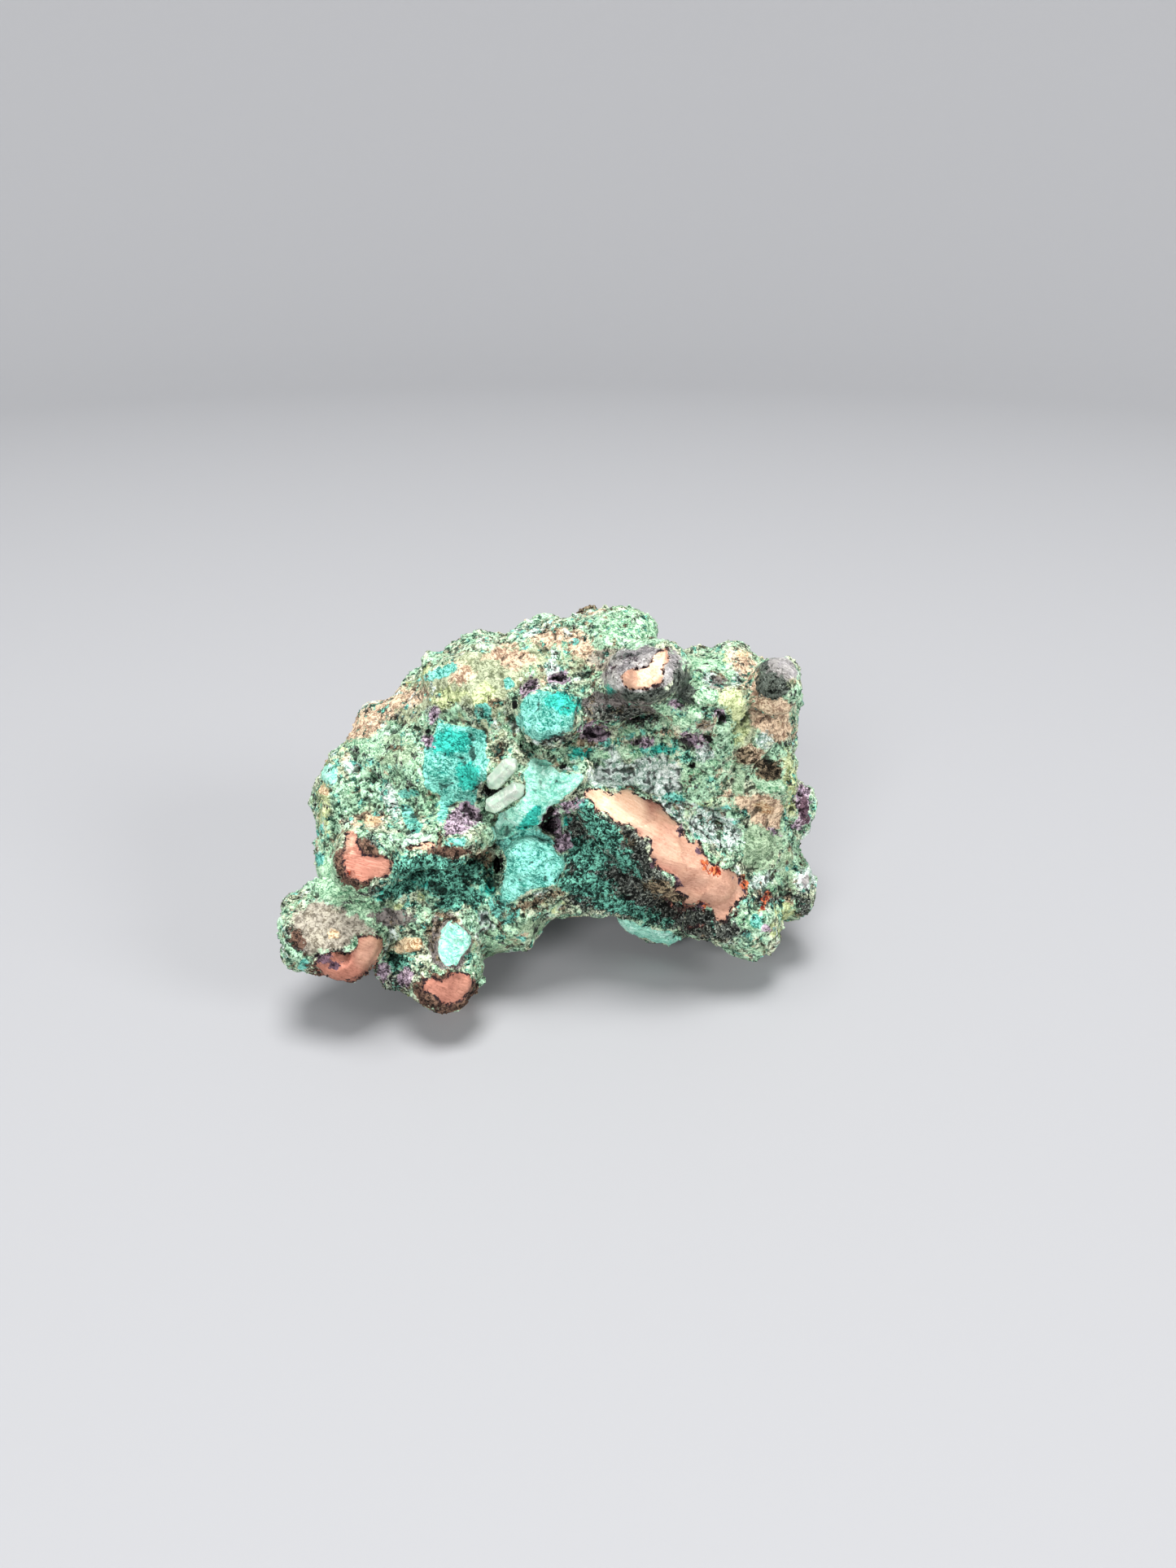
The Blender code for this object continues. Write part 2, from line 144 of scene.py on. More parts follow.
FRONT_FINISHES = {
    "verdigris": ((-32.2, -10.6, 3.4, 2.2, 0), (-30, 3, 8, 8, 10), (-33, -3, 7, 4, 0), (25, 1, 5, 4.5, 0),
                  (27.5, 9, 4, 6, 0), (12, 27.5, 9, 3.6, 0), (-9, -28, 3, 6, -35), (-13, -24, 4, 4, 0),
                  (33, -24.5, 5, 4, 0), (-39, -20, 7, 3.4, -20), (16, 5.6, 5, 2, 0), (42, -13, 2, 5, 20),
                  (-27, -10.6, 4, 2, 0)),
    "tan": ((-33, 12.5, 8, 3, 38), (-10, 23.5, 3.4, 1.7, 10), (-17.5, 20, 2.5, 1.8, 0), (7.5, 22, 3, 2, 0),
            (6, 31, 2.2, 1, 0), (3.5, 7.5, 1.5, 1, 0), (19.5, 9, 2, 0.9, 0), (33.2, 20.8, 3.8, 2, -48),
            (37.8, 12.6, 3.6, 4.4, 0), (35.4, 17.6, 1.8, 3.6, 30), (34, 5, 2.5, 1.5, 0),
            (37, -4.8, 3.7, 2.9, -45), (33, -3, 2.4, 1.2, 10), (-34, -6.3, 3.6, 1.2, 0),
            (-41, -26.5, 2.4, 1.4, -20), (-13.2, -13, 1.5, 2, 0), (0, 26, 5.5, 1.8, 0),
            (40, 9.5, 2.6, 1.8, 20), (-26, 15.5, 3, 1.6, 35), (-8, 22.5, 4, 2, 0), (4, 24, 3, 1.6, 0)),
    "cream": ((-24, 16.5, 9, 3, 38), (-14, 19, 8, 5, 10), (-3, 22, 9, 4, 6), (-28, 12, 8, 2.4, 36),
              (-12.5, 12, 2.4, 5, 0), (33, 11, 2.6, 5, 0), (-11, 9.3, 1.5, 1.4, 0),
              (-17.8, 12, 1.6, 1.1, 0), (-39.8, 3, 2, 1.6, 0), (-20.5, -1.2, 1.8, 0.9, 0),
              (32.5, 15, 2.4, 1.8, 0), (-20.5, -32.6, 4.2, 1, 6), (-46.2, -24.6, 1.9, 1.1, -30),
              (-43.6, -28.4, 1.3, 1, 20), (-37, -8.3, 2.8, 0.8, 20), (-39.4, -11.5, 0.8, 2.2, 0),
              (-32, -8.9, 1.6, 0.6, -10), (-14, 7.5, 0.9, 0.8, 0)),
    "yellow": ((-38, 6.4, 2.2, 1.2, 20), (-20, 15.4, 3.4, 1.6, 20), (-13.5, 15.4, 2, 2.6, 0),
               (31, 12, 2.6, 6, 8), (-42, -3, 1.2, 8, 0), (41.3, 0, 1.1, 7, 3), (30, 7.5, 1.2, 3.5, 0),
               (29.4, 22.2, 1.9, 1.2, 0), (40.3, -22.5, 2.1, 2.3, 0), (38.5, -26, 1.8, 1.4, 0),
               (-22.5, -24.4, 2.4, 1.2, 15), (25.8, -2.4, 2.2, 1.6, 0), (-29, -22.2, 1, 0.8, 0),
               (-36, -23, 1.6, 1.4, 0), (8, 29, 1.4, 1, 0)),
    "ochre": ((-26.9, -28.7, 2.4, 1.15, 14), (-40.4, -26.6, 1.3, 0.9, -20), (-41.8, -1.2, 0.9, 0.9, 0),
              (36.4, -4.3, 2, 1.1, -30), (33, 23, 1, 0.6, 0), (-33.5, -6.3, 1.4, 0.7, 0)),
    "sage": ((36.3, -10.5, 3.4, 5, -15), (32, 1.5, 1.1, 6, 0), (-29, 6, 4, 3, 0), INNER_LEG,
             (40.2, -14, 1.6, 4, 15), (14, 30.6, 2, 0.9, 0), (-10.5, 12.5, 1.1, 1.4, 0)),
    "mint": ((37.4, 0.2, 3.4, 1.9, -28), (13, 28, 6, 3, 0), MINT_SLOPE, (-12, -28, 1.6, 3.4, -25),
             (-24.5, 12, 0.8, 1, 0), (13.2, 9.3, 1.4, 0.9, 0), (21.5, 12.3, 4.2, 2.4, 0), MINT_LEDGE,
             (27.6, 21.8, 2.4, 1.5, 0), (24, 21.8, 2, 1.1, 0), (30.6, 9, 1, 1.6, 0),
             (-34, 6.6, 4.4, 1.5, 0), (-22.4, -4.6, 1.7, 3.6, 0), (-37, -19.6, 4.4, 2.4, -20),
             (-34.2, -22.6, 2, 2.8, -10), (-40.5, -14.5, 1.6, 3.4, 0), (26.6, -13.3, 2.3, 1, -25),
             (42.9, -12.4, 0.9, 2.7, 25), (33.4, -24.3, 2.2, 2.5, 0), (13.5, 5.5, 2.6, 1.3, 0),
             (24, 1, 2.2, 2.6, 20), (8, 5, 1.3, 0.9, 0), (-41.8, -15, 1.2, 3.4, 0), (30.6, 19.2, 1.4, 1, 0),
             (19.4, 8, 1.4, 0.8, 0), (27.4, 3.5, 1.5, 1.2, 0), (38, -19, 1.6, 1, 30), (-5, 20, 1.2, 0.8, 0)),
    "aqua": (AQUA_FACE, (-21, 19.7, 3.2, 1, 20), (-13.6, 13, 1.5, 1.9, 0), (-9, 18, 0.9, 1, 0),
             (-2.3, 12, 5.1, 4.7, 0), UPPER_PLATE, LOWER_PLATE, (8.3, 7.3, 1.5, 0.8, 0),
             (2.8, -7.4, 2.1, 1.8, 0), (3.8, -3.5, 1.4, 0.9, 0), (35, -24.5, 1.5, 1.1, 0),
             (-26.4, -6.4, 1.2, 3, 25), (-26.8, -1.8, 1.5, 1, 0), (-18.3, -10.4, 2.2, 1, 10),
             (-28.8, -14.7, 0.7, 0.5, 20), (-45.4, -32.3, 1, 1.2, 0), (-42.4, -13.4, 0.9, 1.3, 0),
             (-10.8, -22, 1.6, 2.2, 40), (-8.2, -23.2, 2.4, 1.2, 40), (-22.5, -18, 3, 1.2, 0),
             (15.5, 6, 1, 0.8, 0), (7.7, -0.4, 0.6, 0.5, 0), (11, -0.5, 0.6, 0.5, 0),
             (20.5, -2.4, 2.3, 0.9, -10), (37.2, 17.1, 0.5, 0.4, 0)),
    "lilac": ((18, 1.6, 5.4, 3.6, -14), (10, 1.6, 5.4, 2, 0), (9, 5, 1.8, 2, 0), (-30, -3.2, 1.5, 3.2, 15),
              (44, -17, 1.8, 2.6, 0), (36, -17.3, 2.2, 1.4, 20), (-25, -9.7, 3, 1.2, 0),
              (27, 18.3, 1.7, 1.3, 0), (31.6, 18.8, 1.4, 1.2, 0), (27.6, -8, 5.4, 2.8, -25),
              (20, -4.4, 3.6, 1.8, -40), (26, 5.6, 1.6, 2.2, 0), (36.5, 7.6, 1.5, 1.2, 0)),
    # Deep turquoise crust, and painted shade in the fold between the plates.
    "peacock_and_fold_shade": (PLATE_FOLD, (9.3, 18.1, 1.3, 2.1, -10), (2.8, -7.4, 2.1, 1.8, 0), (3.5, 5.6, 2.4, 1, 0),
                (-19.5, 7.6, 3.6, 2.2, 10), (-16, 1.5, 2, 2.6, 20), (0.6, 14.4, 3.4, 2, -25),
                (19, 6, 3.2, 0.9, 0), (-23, -17.5, 5, 1.4, -4), (-13, -18.6, 1.6, 2.2, 0),
                (4.6, -4.4, 0.8, 0.9, 0), (-31, -19.6, 2, 0.8, 20)),
    "teal": ((-21, -15.5, 9.5, 3.2, -4), (-28, -18.6, 3.8, 1.8, 10), (-17.5, -20, 5.4, 2.4, 0),
             (8, -8.5, 4, 2.2, -38), (5, -12.6, 4.6, 3, -20), (4.6, -18, 5, 2.6, -8),
             (14, -22.6, 6, 1.2, -22), (12, -13.6, 3.6, 1.2, -40), (9, -21.5, 4, 1.4, -12),
             (-28.7, -32, 2.6, 1.8, 0), (22.6, 4.6, 1.5, 1, 0), (5.4, -5, 1.8, 1.6, -30)),
    "earth": (LOBE_TOP, (8, 22, 3, 2, 0), (26.4, 10.4, 2, 1, 0)),
    "brown": ((-12, 15, 1, 1, 0), (-12.9, -14.8, 1.5, 2.4, 0), (37.4, 2.6, 2.9, 2, -10),
              (-20, -23.6, 2.4, 1.1, -20), (10, -9, 3.4, 1.4, -38), (20, -19.4, 5, 1.8, -20),
              (7, -20, 4, 1.2, -10), (-10.6, 5.9, 1.3, 1.7, 0), (5.6, 8.2, 3, 1.2, -20),
              (-22.6, -26, 1.2, 2.2, -35), (-5, -21.3, 4.6, 0.9, 24), (0, -19.5, 2.2, 1, 12),
              (33.6, 5, 2, 1.1, 0), (38.6, 22.6, 1.4, 0.8, 0)),
    "cuprite": (MAIN_VUG, (-5.6, 17.2, 2.2, 1.4, 35), (-0.1, 18.7, 1.8, 1, 5), (6.5, 10, 1.7, 1.1, 0),
                (-22.3, 12.5, 0.9, 1.6, -15), (-23.4, 8, 1, 1.3, 30), (21.5, 14, 1.6, 0.7, -25),
                (15, 7.4, 1.9, 0.9, 0), (24.2, 8, 2.5, 1.2, -12), (28.7, 12.5, 1, 1.2, 0), PURPLE_WEDGE,
                (-0.2, -7, 0.8, 2.4, 0), (0.6, -10.6, 1.5, 1.5, 0), (6.6, 9, 3, 1.6, -10),
                (-36.4, -16.5, 1.6, 0.8, -35), (-31.5, -33.5, 1.2, 1.7, 0), (-27.3, -34.6, 1.4, 1.6, 0),
                (36.8, -26, 1, 0.9, 0), (43.4, -2.8, 1.6, 3, 0), (43, -7, 1.1, 1.8, 0),
                (2, -3.8, 2, 0.9, 30), (38.6, -8.3, 0.7, 0.5, -30)),
    # Black crust and dark grains, and painted shadow under the knobs, the ledges and the lobe.
    "black_and_shadow": (UNDER_RIDGE, (11, 12.4, 7, 1.6, -6), (38.2, 17, 2.7, 1.5, 0), (10.4, 21.2, 1.8, 0.5, 12),
              (12.4, 22.2, 1.4, 0.4, -8), (12, -12.6, 5.4, 2.6, -40), (-38.9, -31, 1.5, 1.6, 0),
              (-19, -12.4, 3.6, 1.2, -6), (36.5, 3.4, 1.4, 1.2, 0), (15, -17.6, 6.4, 3, -28),
              (-12, -1.6, 2, 1.4, 0), (-10.7, -14, 0.9, 1.8, 0), (1, 8, 3.6, 0.8, 8),
              (26.5, -25.4, 7, 2.8, -6), (40.3, -20.4, 5.2, 1, 4), (43.8, -22, 1.8, 2.2, 0),
              (-31, -18.4, 5, 0.8, 22), (-33.6, -10.9, 2, 1.4, 0), (-28.9, -35.6, 3, 1.6, 0),
              (-20, -40.4, 4.6, 0.9, 10), (-47.4, -28, 1.2, 2.4, 25), (-39, -30.3, 1.4, 0.7, -20),
              (-21.8, -18.6, 2, 1.6, -30), (36.6, -20.6, 2.4, 1.5, -15), (17, 16, 5.5, 0.8, 3)),
    "slate": ((-29.4, -23.8, 4, 1.6, -5), (-20.6, -24.4, 2.6, 2, 20), (-19.6, -28.6, 3.8, 4.8, 8),
              (10.6, 13.8, 7, 3, 0), (-46.2, -29, 1.6, 1.4, 0), (28.6, 18.2, 1.6, 1.2, 0)),
    "tarnish": ((-36, -14.2, 4.2, 4.6, 0), (-19.4, -12.3, 4.6, 1.1, -4), (-20, -37.2, 5.7, 3.8, 0),
                (-38.6, -33.6, 6.4, 2.6, -12), (-46.6, -28.6, 1, 2.4, 20)),
    # Silvery metal on the top knob, and painted highlight on the corner knob's top and the lower right lump.
    "silver_and_highlight": ((14.6, 20.2, 7.6, 4.3, 4), (20.6, 20.8, 1.6, 2.4, 10), (39.4, 20.9, 3.1, 2.7, 0),
               (44.2, -17, 0.9, 1.2, 0)),
    "gunmetal": ((38.3, 17.6, 3, 2.2, 0), (36.2, 20, 1, 2.6, -10), (22.2, 17.4, 1.7, 4, 14),
                 (16, 15.8, 5.6, 1.1, 4), (12, 22.7, 2, 0.6, 10)),
    "copper": (COPPER_RIDGE, LEFT_KNOB, LOBE_COPPER, FRONT_KNOB, TOP_KNOB,
               ((-27.8, -11.8), (-25, -10.7), (-22.5, -10.4), (-22.3, -11.4), (-24, -12.2), (-26.3, -12)),
               (20.2, -21.9, 1.2, 0.35, -48), (21.8, -23.1, 1, 0.3, 40), (31.5, -23.2, 0.7, 0.4, 30),
               (24, -25.6, 1.4, 0.25, 10), (37.4, -20.1, 0.7, 0.4, 0)),
    "red": ((27.5, -15.6, 1.6, 0.9, -10), (25.9, -14.2, 1, 0.6, -40), (33.2, -17.9, 0.7, 1.6, 25),
            (32.5, -16.3, 0.7, 0.6, 0), (37.3, -20.3, 0.8, 0.5, 0), (25.6, -21.7, 0.9, 0.7, 0),
            (35.8, -22.4, 0.8, 0.4, 20), (-36.6, -16.3, 0.8, 0.4, -35)),
    "speck": ((9.6, 21.3, 1.7, 0.3, 15), (12.4, 22.3, 1.3, 0.28, -10), (8.4, 19.9, 0.8, 0.25, 30),
              (43.7, -4.4, 1, 2.6, 0), (-42, -31.2, 1.9, 1, -20), (-40, -32, 1.1, 0.6, 0),
              (16.4, -10.6, 0.45, 0.8, 0), (21, -16.9, 0.7, 0.5, 0), (21.8, -17.8, 0.45, 0.8, 0),
              (25, -12.4, 0.5, 0.6, 20), (32, -16.9, 0.6, 0.6, 0), (21.4, -8.6, 0.5, 0.9, 20),
              (33.4, -19, 0.8, 0.5, -30), (17, -13.4, 0.5, 0.9, 0), (24.4, -22, 1.4, 0.4, 12)),
    # Near-black painted shadow in the holes, pits and gaps; round the back, a few random specks of it.
    "painted_hole_shadow": ((-5.2, 17, 1, 0.6, 35), (0, 18.7, 0.9, 0.45, 0), (-7.9, 14.2, 0.4, 1, 10),
             (-26.2, -8.2, 0.7, 0.4, 0), CRYSTAL_GAP, PLATE_SLOT, (-1.7, -5.6, 0.8, 2.2, -25),
             (24.1, 3.6, 0.7, 0.8, 0), (0.8, 3.4, 0.8, 0.5, 0), (28.9, 12.2, 0.9, 0.6, 0),
             (26.4, 8.2, 1, 0.5, -20), (12, -20.4, 1.4, 0.3, 0), (-23.6, 9.4, 0.6, 0.5, 0)),
    "pale": (PALE_PLATE, UPPER_PLATE, UNDER_FLAP, (-41, 1.8, 1.7, 1.9, 0), (-10.4, -1.2, 0.8, 0.7, 0)),
}

# The finishes of the back, top and underside: how large a patch is, and the share of the surface it takes.
BACK_FINISHES = {
    "verdigris": (13, 0.22), "earth": (13, 0.09), "tan": (14, 0.2), "cream": (11, 0.13), "yellow": (12, 0.15),
    "ochre": (5, 0.02), "sage": (13, 0.24), "mint": (12, 0.28), "aqua": (12, 0.22), "peacock_and_fold_shade": (7, 0.1),
    "lilac": (12, 0.13), "teal": (9, 0.12), "brown": (11, 0.12), "cuprite": (6, 0.09), "black_and_shadow": (7, 0.09),
    "slate": (8, 0.07), "tarnish": (5, 0.02), "silver_and_highlight": (5, 0), "gunmetal": (6, 0.03), "red": (3, -0.1),
    "speck": (2, -0.02), "painted_hole_shadow": (2, -0.1), "pale": (5, 0.04),
}
# The same for the flecks strewn over the front, except where it is calm.
FRONT_SPECKLE = {
    "verdigris": (3.4, 0.2),
    "tan": (2.6, 0.12), "cream": (2.2, 0.16), "yellow": (3.4, 0.12), "sage": (3.2, 0.16), "mint": (2.4, 0.24),
    "aqua": (1.9, 0.1), "lilac": (2.8, 0.2), "teal": (1.6, 0.1), "brown": (1.5, 0.12), "black_and_shadow": (1.4, 0.14),
}
CALM = (AQUA_FACE, UPPER_PLATE, LOWER_PLATE, (-2.3, 12.2, 5, 4.5, 0), PALE_PLATE, (37.4, 2.6, 3.4, 6, 0),
        (37.5, 12, 3.6, 6, 0), (31.4, 11, 2.4, 6, 8), (37, -4.8, 3.4, 2.6, -45), (13, 2, 9, 3, -12),
        UNDER_RIDGE, UNDER_FLAP, (36.3, -10.5, 3.4, 5, -15), MINT_SLOPE, LOBE_TOP, (-14, 19, 8, 4, 10))
# How brightly the front's bare copper is rubbed, with painted sheen where it faces the light: an ellipse of the
# front map and how bright, from 0 to 1.
BURNISH_AND_SHEEN = (((15, 20.4, 6.4, 5, 15), 0.45), ((10, -2.6, 7, 3.4, -36), 0.7), ((20, -9.5, 6, 5, -36), 0.34),
             ((28, -18.5, 8, 5.5, -30), 0.3), ((-34, -15, 5, 4, 0), 0.0),
             ((-37.8, -9.4, 1.4, 2.4, -20), 0.35), ((-24, -11.4, 3, 1.4, 0), 0.5),
             ((-33.5, -30, 2.6, 3.6, -20), 0.28), ((-20, -37, 6, 3, 0), 0.1))
# Where straight scratches cross the front's bare copper: an ellipse, and how strongly.
SCRATCHED = (((-34, -13, 6, 7, 0), 1.0), ((-20, -37, 7, 4, 0), 0.25), ((26, -17, 9, 6, -30), 0.35))
# The bare copper of the back and top: its centre, its three half lengths and its lean in degrees.
BACK_COPPER = ((-16, 25, 36, 8, 5, 2.8, 28), (33, 22, 15, 4.5, 4, 5, 0), (-31, 17, 29, 3.5, 4, 4, 0),
               (6, 22, 53, 5, 3, 2.6, 0), (39, 16, 45, 3, 4, 3, 0), (16, 27, 39, 3.2, 4, 4.5, -20))

# The finishes of the top knobs alone, and how far back they fade out along the depth, so that they don't run
# over the top behind the knobs.
KNOB_FINISHES = ("silver_and_highlight", "gunmetal")
BEHIND_KNOBS = (-7, -3)

# What stands out of the front or is sunk into it, with its height or depth and the width of its edge.
RAISED = (((38.9, 19.7, 3.2, 3.6, 0), 2.2, 4.5), (UPPER_PLATE, 0.9, 0.7), (LOWER_PLATE, 1.0, 0.7),
          (MINT_LEDGE, 0.9, 0.6), ((-26.9, -28.7, 2.4, 1.15, 14), 0.7, 0.5), (PALE_PLATE, 0.35, 0.4),
          ((21.5, 12.3, 4.2, 2.4, 0), 0.6, 0.6), ((-2.3, 12.2, 5, 4.5, 0), 0.7, 0.8),
          ((2.8, -7.4, 2.1, 1.8, 0), 0.8, 0.6), ((13.5, 5.5, 2.6, 1.3, 0), 0.6, 0.5),
          ((-17, 8, 4, 2.6, 0), 0.5, 0.8), (PURPLE_WEDGE, -0.5, 0.5),
          ((37.4, 0.2, 3.2, 1.7, -28), 0.4, 0.4), ((9.3, 18.1, 1.3, 2.1, -10), 0.8, 0.5),
          ((-22.4, -4.6, 1.9, 3.8, 0), 0.4, 0.5), (TOP_KNOB, 0.3, 0.8), (AQUA_FACE, 0.35, 0.6))
SUNK = ((MAIN_VUG, 5.0, 0.8), (PLATE_SLOT, 4.0, 0.6), (CRYSTAL_GAP, 4.5, 0.6),
        ((-21.3, 21.9, 0.8, 0.6, 0), 1.5, 0.5), ((-25, 10, 0.8, 0.6, 0), 1.4, 0.5),
        ((-10.6, 5.9, 1.4, 1.8, 0), 1.5, 0.6), ((0.5, 3.9, 0.8, 0.5, 0), 1.6, 0.5),
        ((-5.6, 17.3, 2, 1.2, 35), 2.8, 0.7), ((-0.1, 18.8, 1.6, 0.8, 5), 2.4, 0.6),
        ((-2, 7.9, 4.6, 0.8, 18), 1.8, 0.6), ((6.4, 9.6, 2.6, 1.5, -10), 2.4, 0.8),
        ((24.6, 7.6, 2.8, 1.5, -8), 3.0, 0.7), ((28.9, 12.2, 1.2, 1.1, 0), 1.8, 0.6),
        ((24.1, 3.6, 0.8, 0.9, 0), 2.2, 0.5), ((-24, 7.8, 1.2, 2.1, 30), 1.2, 0.6),
        ((15, 7.4, 2, 0.9, 0), 1.0, 0.5), ((21.6, 14.2, 1.6, 0.6, -25), 1.6, 0.5),
        ((28.8, -6.9, 1.8, 0.6, -20), 1.4, 0.5), ((37.4, 2.6, 2.7, 1.8, -10), 1.4, 0.8),
        ((38.8, -8.3, 0.7, 0.4, -30), 1.2, 0.4), ((-33.6, -10.9, 1.7, 1.2, 0), 1.5, 0.6),
        ((-38.9, -31, 1.3, 1.4, 0), 1.2, 0.6), ((-39, -30.3, 1.3, 0.5, -20), 1.0, 0.5),
        ((-21.8, -18.6, 2, 1.3, -30), 1.2, 0.6), ((-27, -8.8, 0.8, 0.5, 0), 1.2, 0.4),
        ((-15.1, -8.4, 0.4, 0.7, 0), 1.2, 0.4), ((12, -20.4, 1.6, 0.4, 0), 1.4, 0.4),
        ((3, -10.8, 1.6, 0.7, 0), 1.2, 0.5), ((35.8, -22.2, 1.2, 0.5, 15), 0.8, 0.4))

# Faces that were cut flat, and how nearly flat they are.
CUT_FLAT = ((LEFT_KNOB, 0.85), (LOBE_COPPER, 0.6), (FRONT_KNOB, 0.85), (TOP_KNOB, 0.7), (PALE_PLATE, 0.8),
            (LOWER_PLATE, 0.35), (UPPER_PLATE, 0.3))

# Cracks and creases on the front: corners, half width and depth; a negative depth is a sharp crest.
CREASES = ((((22.5, 9), (24, 8.9), (26, 8), (28.3, 7.7)), 0.4, 1.6),
           (((19, 15.6), (22, 14.4), (25, 13.9), (28.5, 13.6)), 0.35, 1.6),
           (((29, 20), (26, 20), (23.8, 20.3)), 0.3, 0.9), (((17, -0.9), (20, -1), (23, -0.6)), 0.35, 1.0),
           (((26.8, -6.3), (29, -6.9), (31.5, -8.6)), 0.35, 1.2),
           (((33.4, -7), (35, -8), (37.4, -9.8)), 0.25, 0.7),
           (((-33, 0.6), (-31.4, 0.2), (-30, 1)), 0.3, 0.9),
           (((-25, 9.6), (-22.6, 8), (-23.8, 5.4)), 0.35, 1.0), (((-24, -5.2), (-21, -4.9)), 0.2, 0.6),
           (((-22.4, -1.4), (-22.2, -8)), 0.2, 0.5),
           (((-18, -22.6), (-16.5, -21.9), (-14.6, -22)), 0.3, 0.9),
           (((-13, -27), (-11.5, -24), (-9.6, -21)), 0.3, 0.6),
           (((4, -23.6), (8, -21.2), (13, -22.6), (19, -25.8)), 0.3, 0.8),
           (((-10, -24.6), (-5, -22), (0, -21)), 0.3, 0.9),
           (((19.2, -20.8), (21, -23.9), (23, -22.6)), 0.3, 0.7),
           (((22, -24.6), (27, -25.2), (33, -24)), 0.35, 1.0),
           (((21, -26.8), (27, -27.4), (34, -26)), 0.35, 1.0),
           (((-24.5, 16.5), (-21, 17.6), (-19, 21)), 0.25, 0.6),
           (((-32.5, 5.5), (-29.5, 6.4), (-26, 5)), 0.25, 0.7), (((-30, 8.6), (-28.5, 3.6)), 0.25, 0.6),
           (((14.8, -2.2), (17.6, -3.9), (20.6, -7)), 0.18, 0.25),
           (((15.6, -12), (19, -13), (25, -15)), 0.5, -0.3),
           (((14, -8.6), (19, -11), (24, -13.8)), 0.4, 0.25), (((6.2, -1.4), (8.4, -4.6)), 0.2, 0.2),
           (((22.6, -17.8), (27, -18.2), (31, -19.6)), 0.5, 0.2),
           (((31, 10), (31.6, 5), (31, -2)), 0.4, 0.7), (((33.5, 5.2), (31.2, 5.6)), 0.3, 0.6),
           (((2.6, 28.2), (4.6, 27), (6.6, 27.6)), 0.3, 0.8), (((14, 28.4), (16, 28.8)), 0.3, 0.8))

# How much of the crust's crumbly relief each finish keeps.
RELIEF_KEPT = {
    "tan": 0.5, "yellow": 0.75, "earth": 0.4, "pale": 0.5, "mint": 0.55, "copper": 0.04, "silver_and_highlight": 0.3,
    "gunmetal": 0.3, "slate": 0.35, "sage": 0.5, "aqua": 0.62, "red": 0.6, "speck": 0.9, "cream": 0.45,
}


# Numbers that vary over space

TURN = np.array(Matrix.Rotation(0.9, 3, (0.4, 0.7, 0.6)))


def hashed(cells, seed):
    """One repeatable number from 0 to 1 for each row of whole numbers."""
    mixed = cells[:, 0] * 73856093 ^ cells[:, 1] * 19349663 ^ cells[:, 2] * 83492791 ^ seed * 40503
    mixed = (mixed ^ (mixed >> 13)) * 1274126177 & 0xFFFFFFFF
    mixed = (mixed ^ (mixed >> 15)) * 668265263 & 0xFFFFFFFF
    return ((mixed ^ (mixed >> 16)) & 0xFFFFFF) / 0xFFFFFF


def waves(points, size, seed, octaves=1):
    """Soft random waves about one size across, each octave half as wide and high, from about -1 to 1."""
    total = np.zeros(len(points))
    reach = 0.0
    for octave in range(octaves):
        scaled = points @ TURN * (2**octave / size)
        cell = np.floor(scaled).astype(np.int64)
        part = scaled - cell
        part = part**3 * (part * (part * 6 - 15) + 10)
        for corner in itertools.product((0, 1), repeat=3):
            weight = np.prod(np.where(corner, part, 1 - part), axis=1)
            total += weight * (hashed(cell + corner, seed + 17 * octave) * 2 - 1) * 0.5**octave
        reach += 0.5**octave
    return total / reach


def crumbs(points, size, seed):
    """Splits space into crumbs about one size across: how far a point is from its crumb's middle and from the
    next crumb's, in sizes, the crumb's random number, and the way from its middle to the point."""
    scaled = points @ TURN / size
    cell = np.floor(scaled).astype(np.int64)
    nearest = np.full(len(points), 9.0)
    second = nearest.copy()
    own = np.zeros(len(points))
    away = np.zeros((len(points), 3))
    for step in itertools.product((-1, 0, 1), repeat=3):
        here = cell + step
        middle = here + np.stack([hashed(here, seed + axis) for axis in range(3)], axis=1)
        offset = scaled - middle
        distance = np.sqrt((offset**2).sum(axis=1))
        closer = distance < nearest
        second = np.where(closer, nearest, np.minimum(second, distance))
        own[closer] = hashed(here[closer], seed + 3)
        away[closer] = offset[closer]
        nearest = np.minimum(nearest, distance)
    return nearest, second, own, away


def chips(points, size, slope, seed):
    """The height of a surface broken into tilted facets about one size across."""
    _, _, own, away = crumbs(points, size, seed)
    tilt = np.stack([np.sin(own * 40 + k * 2.1) for k in range(3)], axis=1)
    return (away * tilt).sum(axis=1) * size * slope


def step_up(value, low, high):
    """0 below low, 1 above high, and a smooth rise between them."""
    share = np.clip((value - low) / (high - low), 0, 1)
    return share * share * (3 - 2 * share)


# The front map

def front_map(points):
    """Where each point shows on the front map, across and up."""
    offset = points - np.array(CAMERA_PLACE)
    depth = offset @ LOOK
    across = offset[:, 0] / depth * CAMERA_REACH + CAMERA_PLACE[0]
    return across, offset @ LOOK_UP / depth * CAMERA_REACH


def ragged(points, across, up, share=1.0):
    """The same places moved a little at random, so that what is drawn there gets ragged edges."""
    for size, reach, seed in ((3.2, 0.4, 11), (1.2, 0.35, 23)):
        across = across + waves(points, size, seed) * reach * share
        up = up + waves(points, size, seed + 5) * reach * share
    return across, up


def depth_in_ellipse(across, up, middle_across, middle_up, half_width, half_height, lean):
    turn = math.radians(lean)
    du, dv = across - middle_across, up - middle_up
    along = du * math.cos(turn) + dv * math.sin(turn)
    over = dv * math.cos(turn) - du * math.sin(turn)
    return (1 - np.hypot(along / half_width, over / half_height)) * min(half_width, half_height)


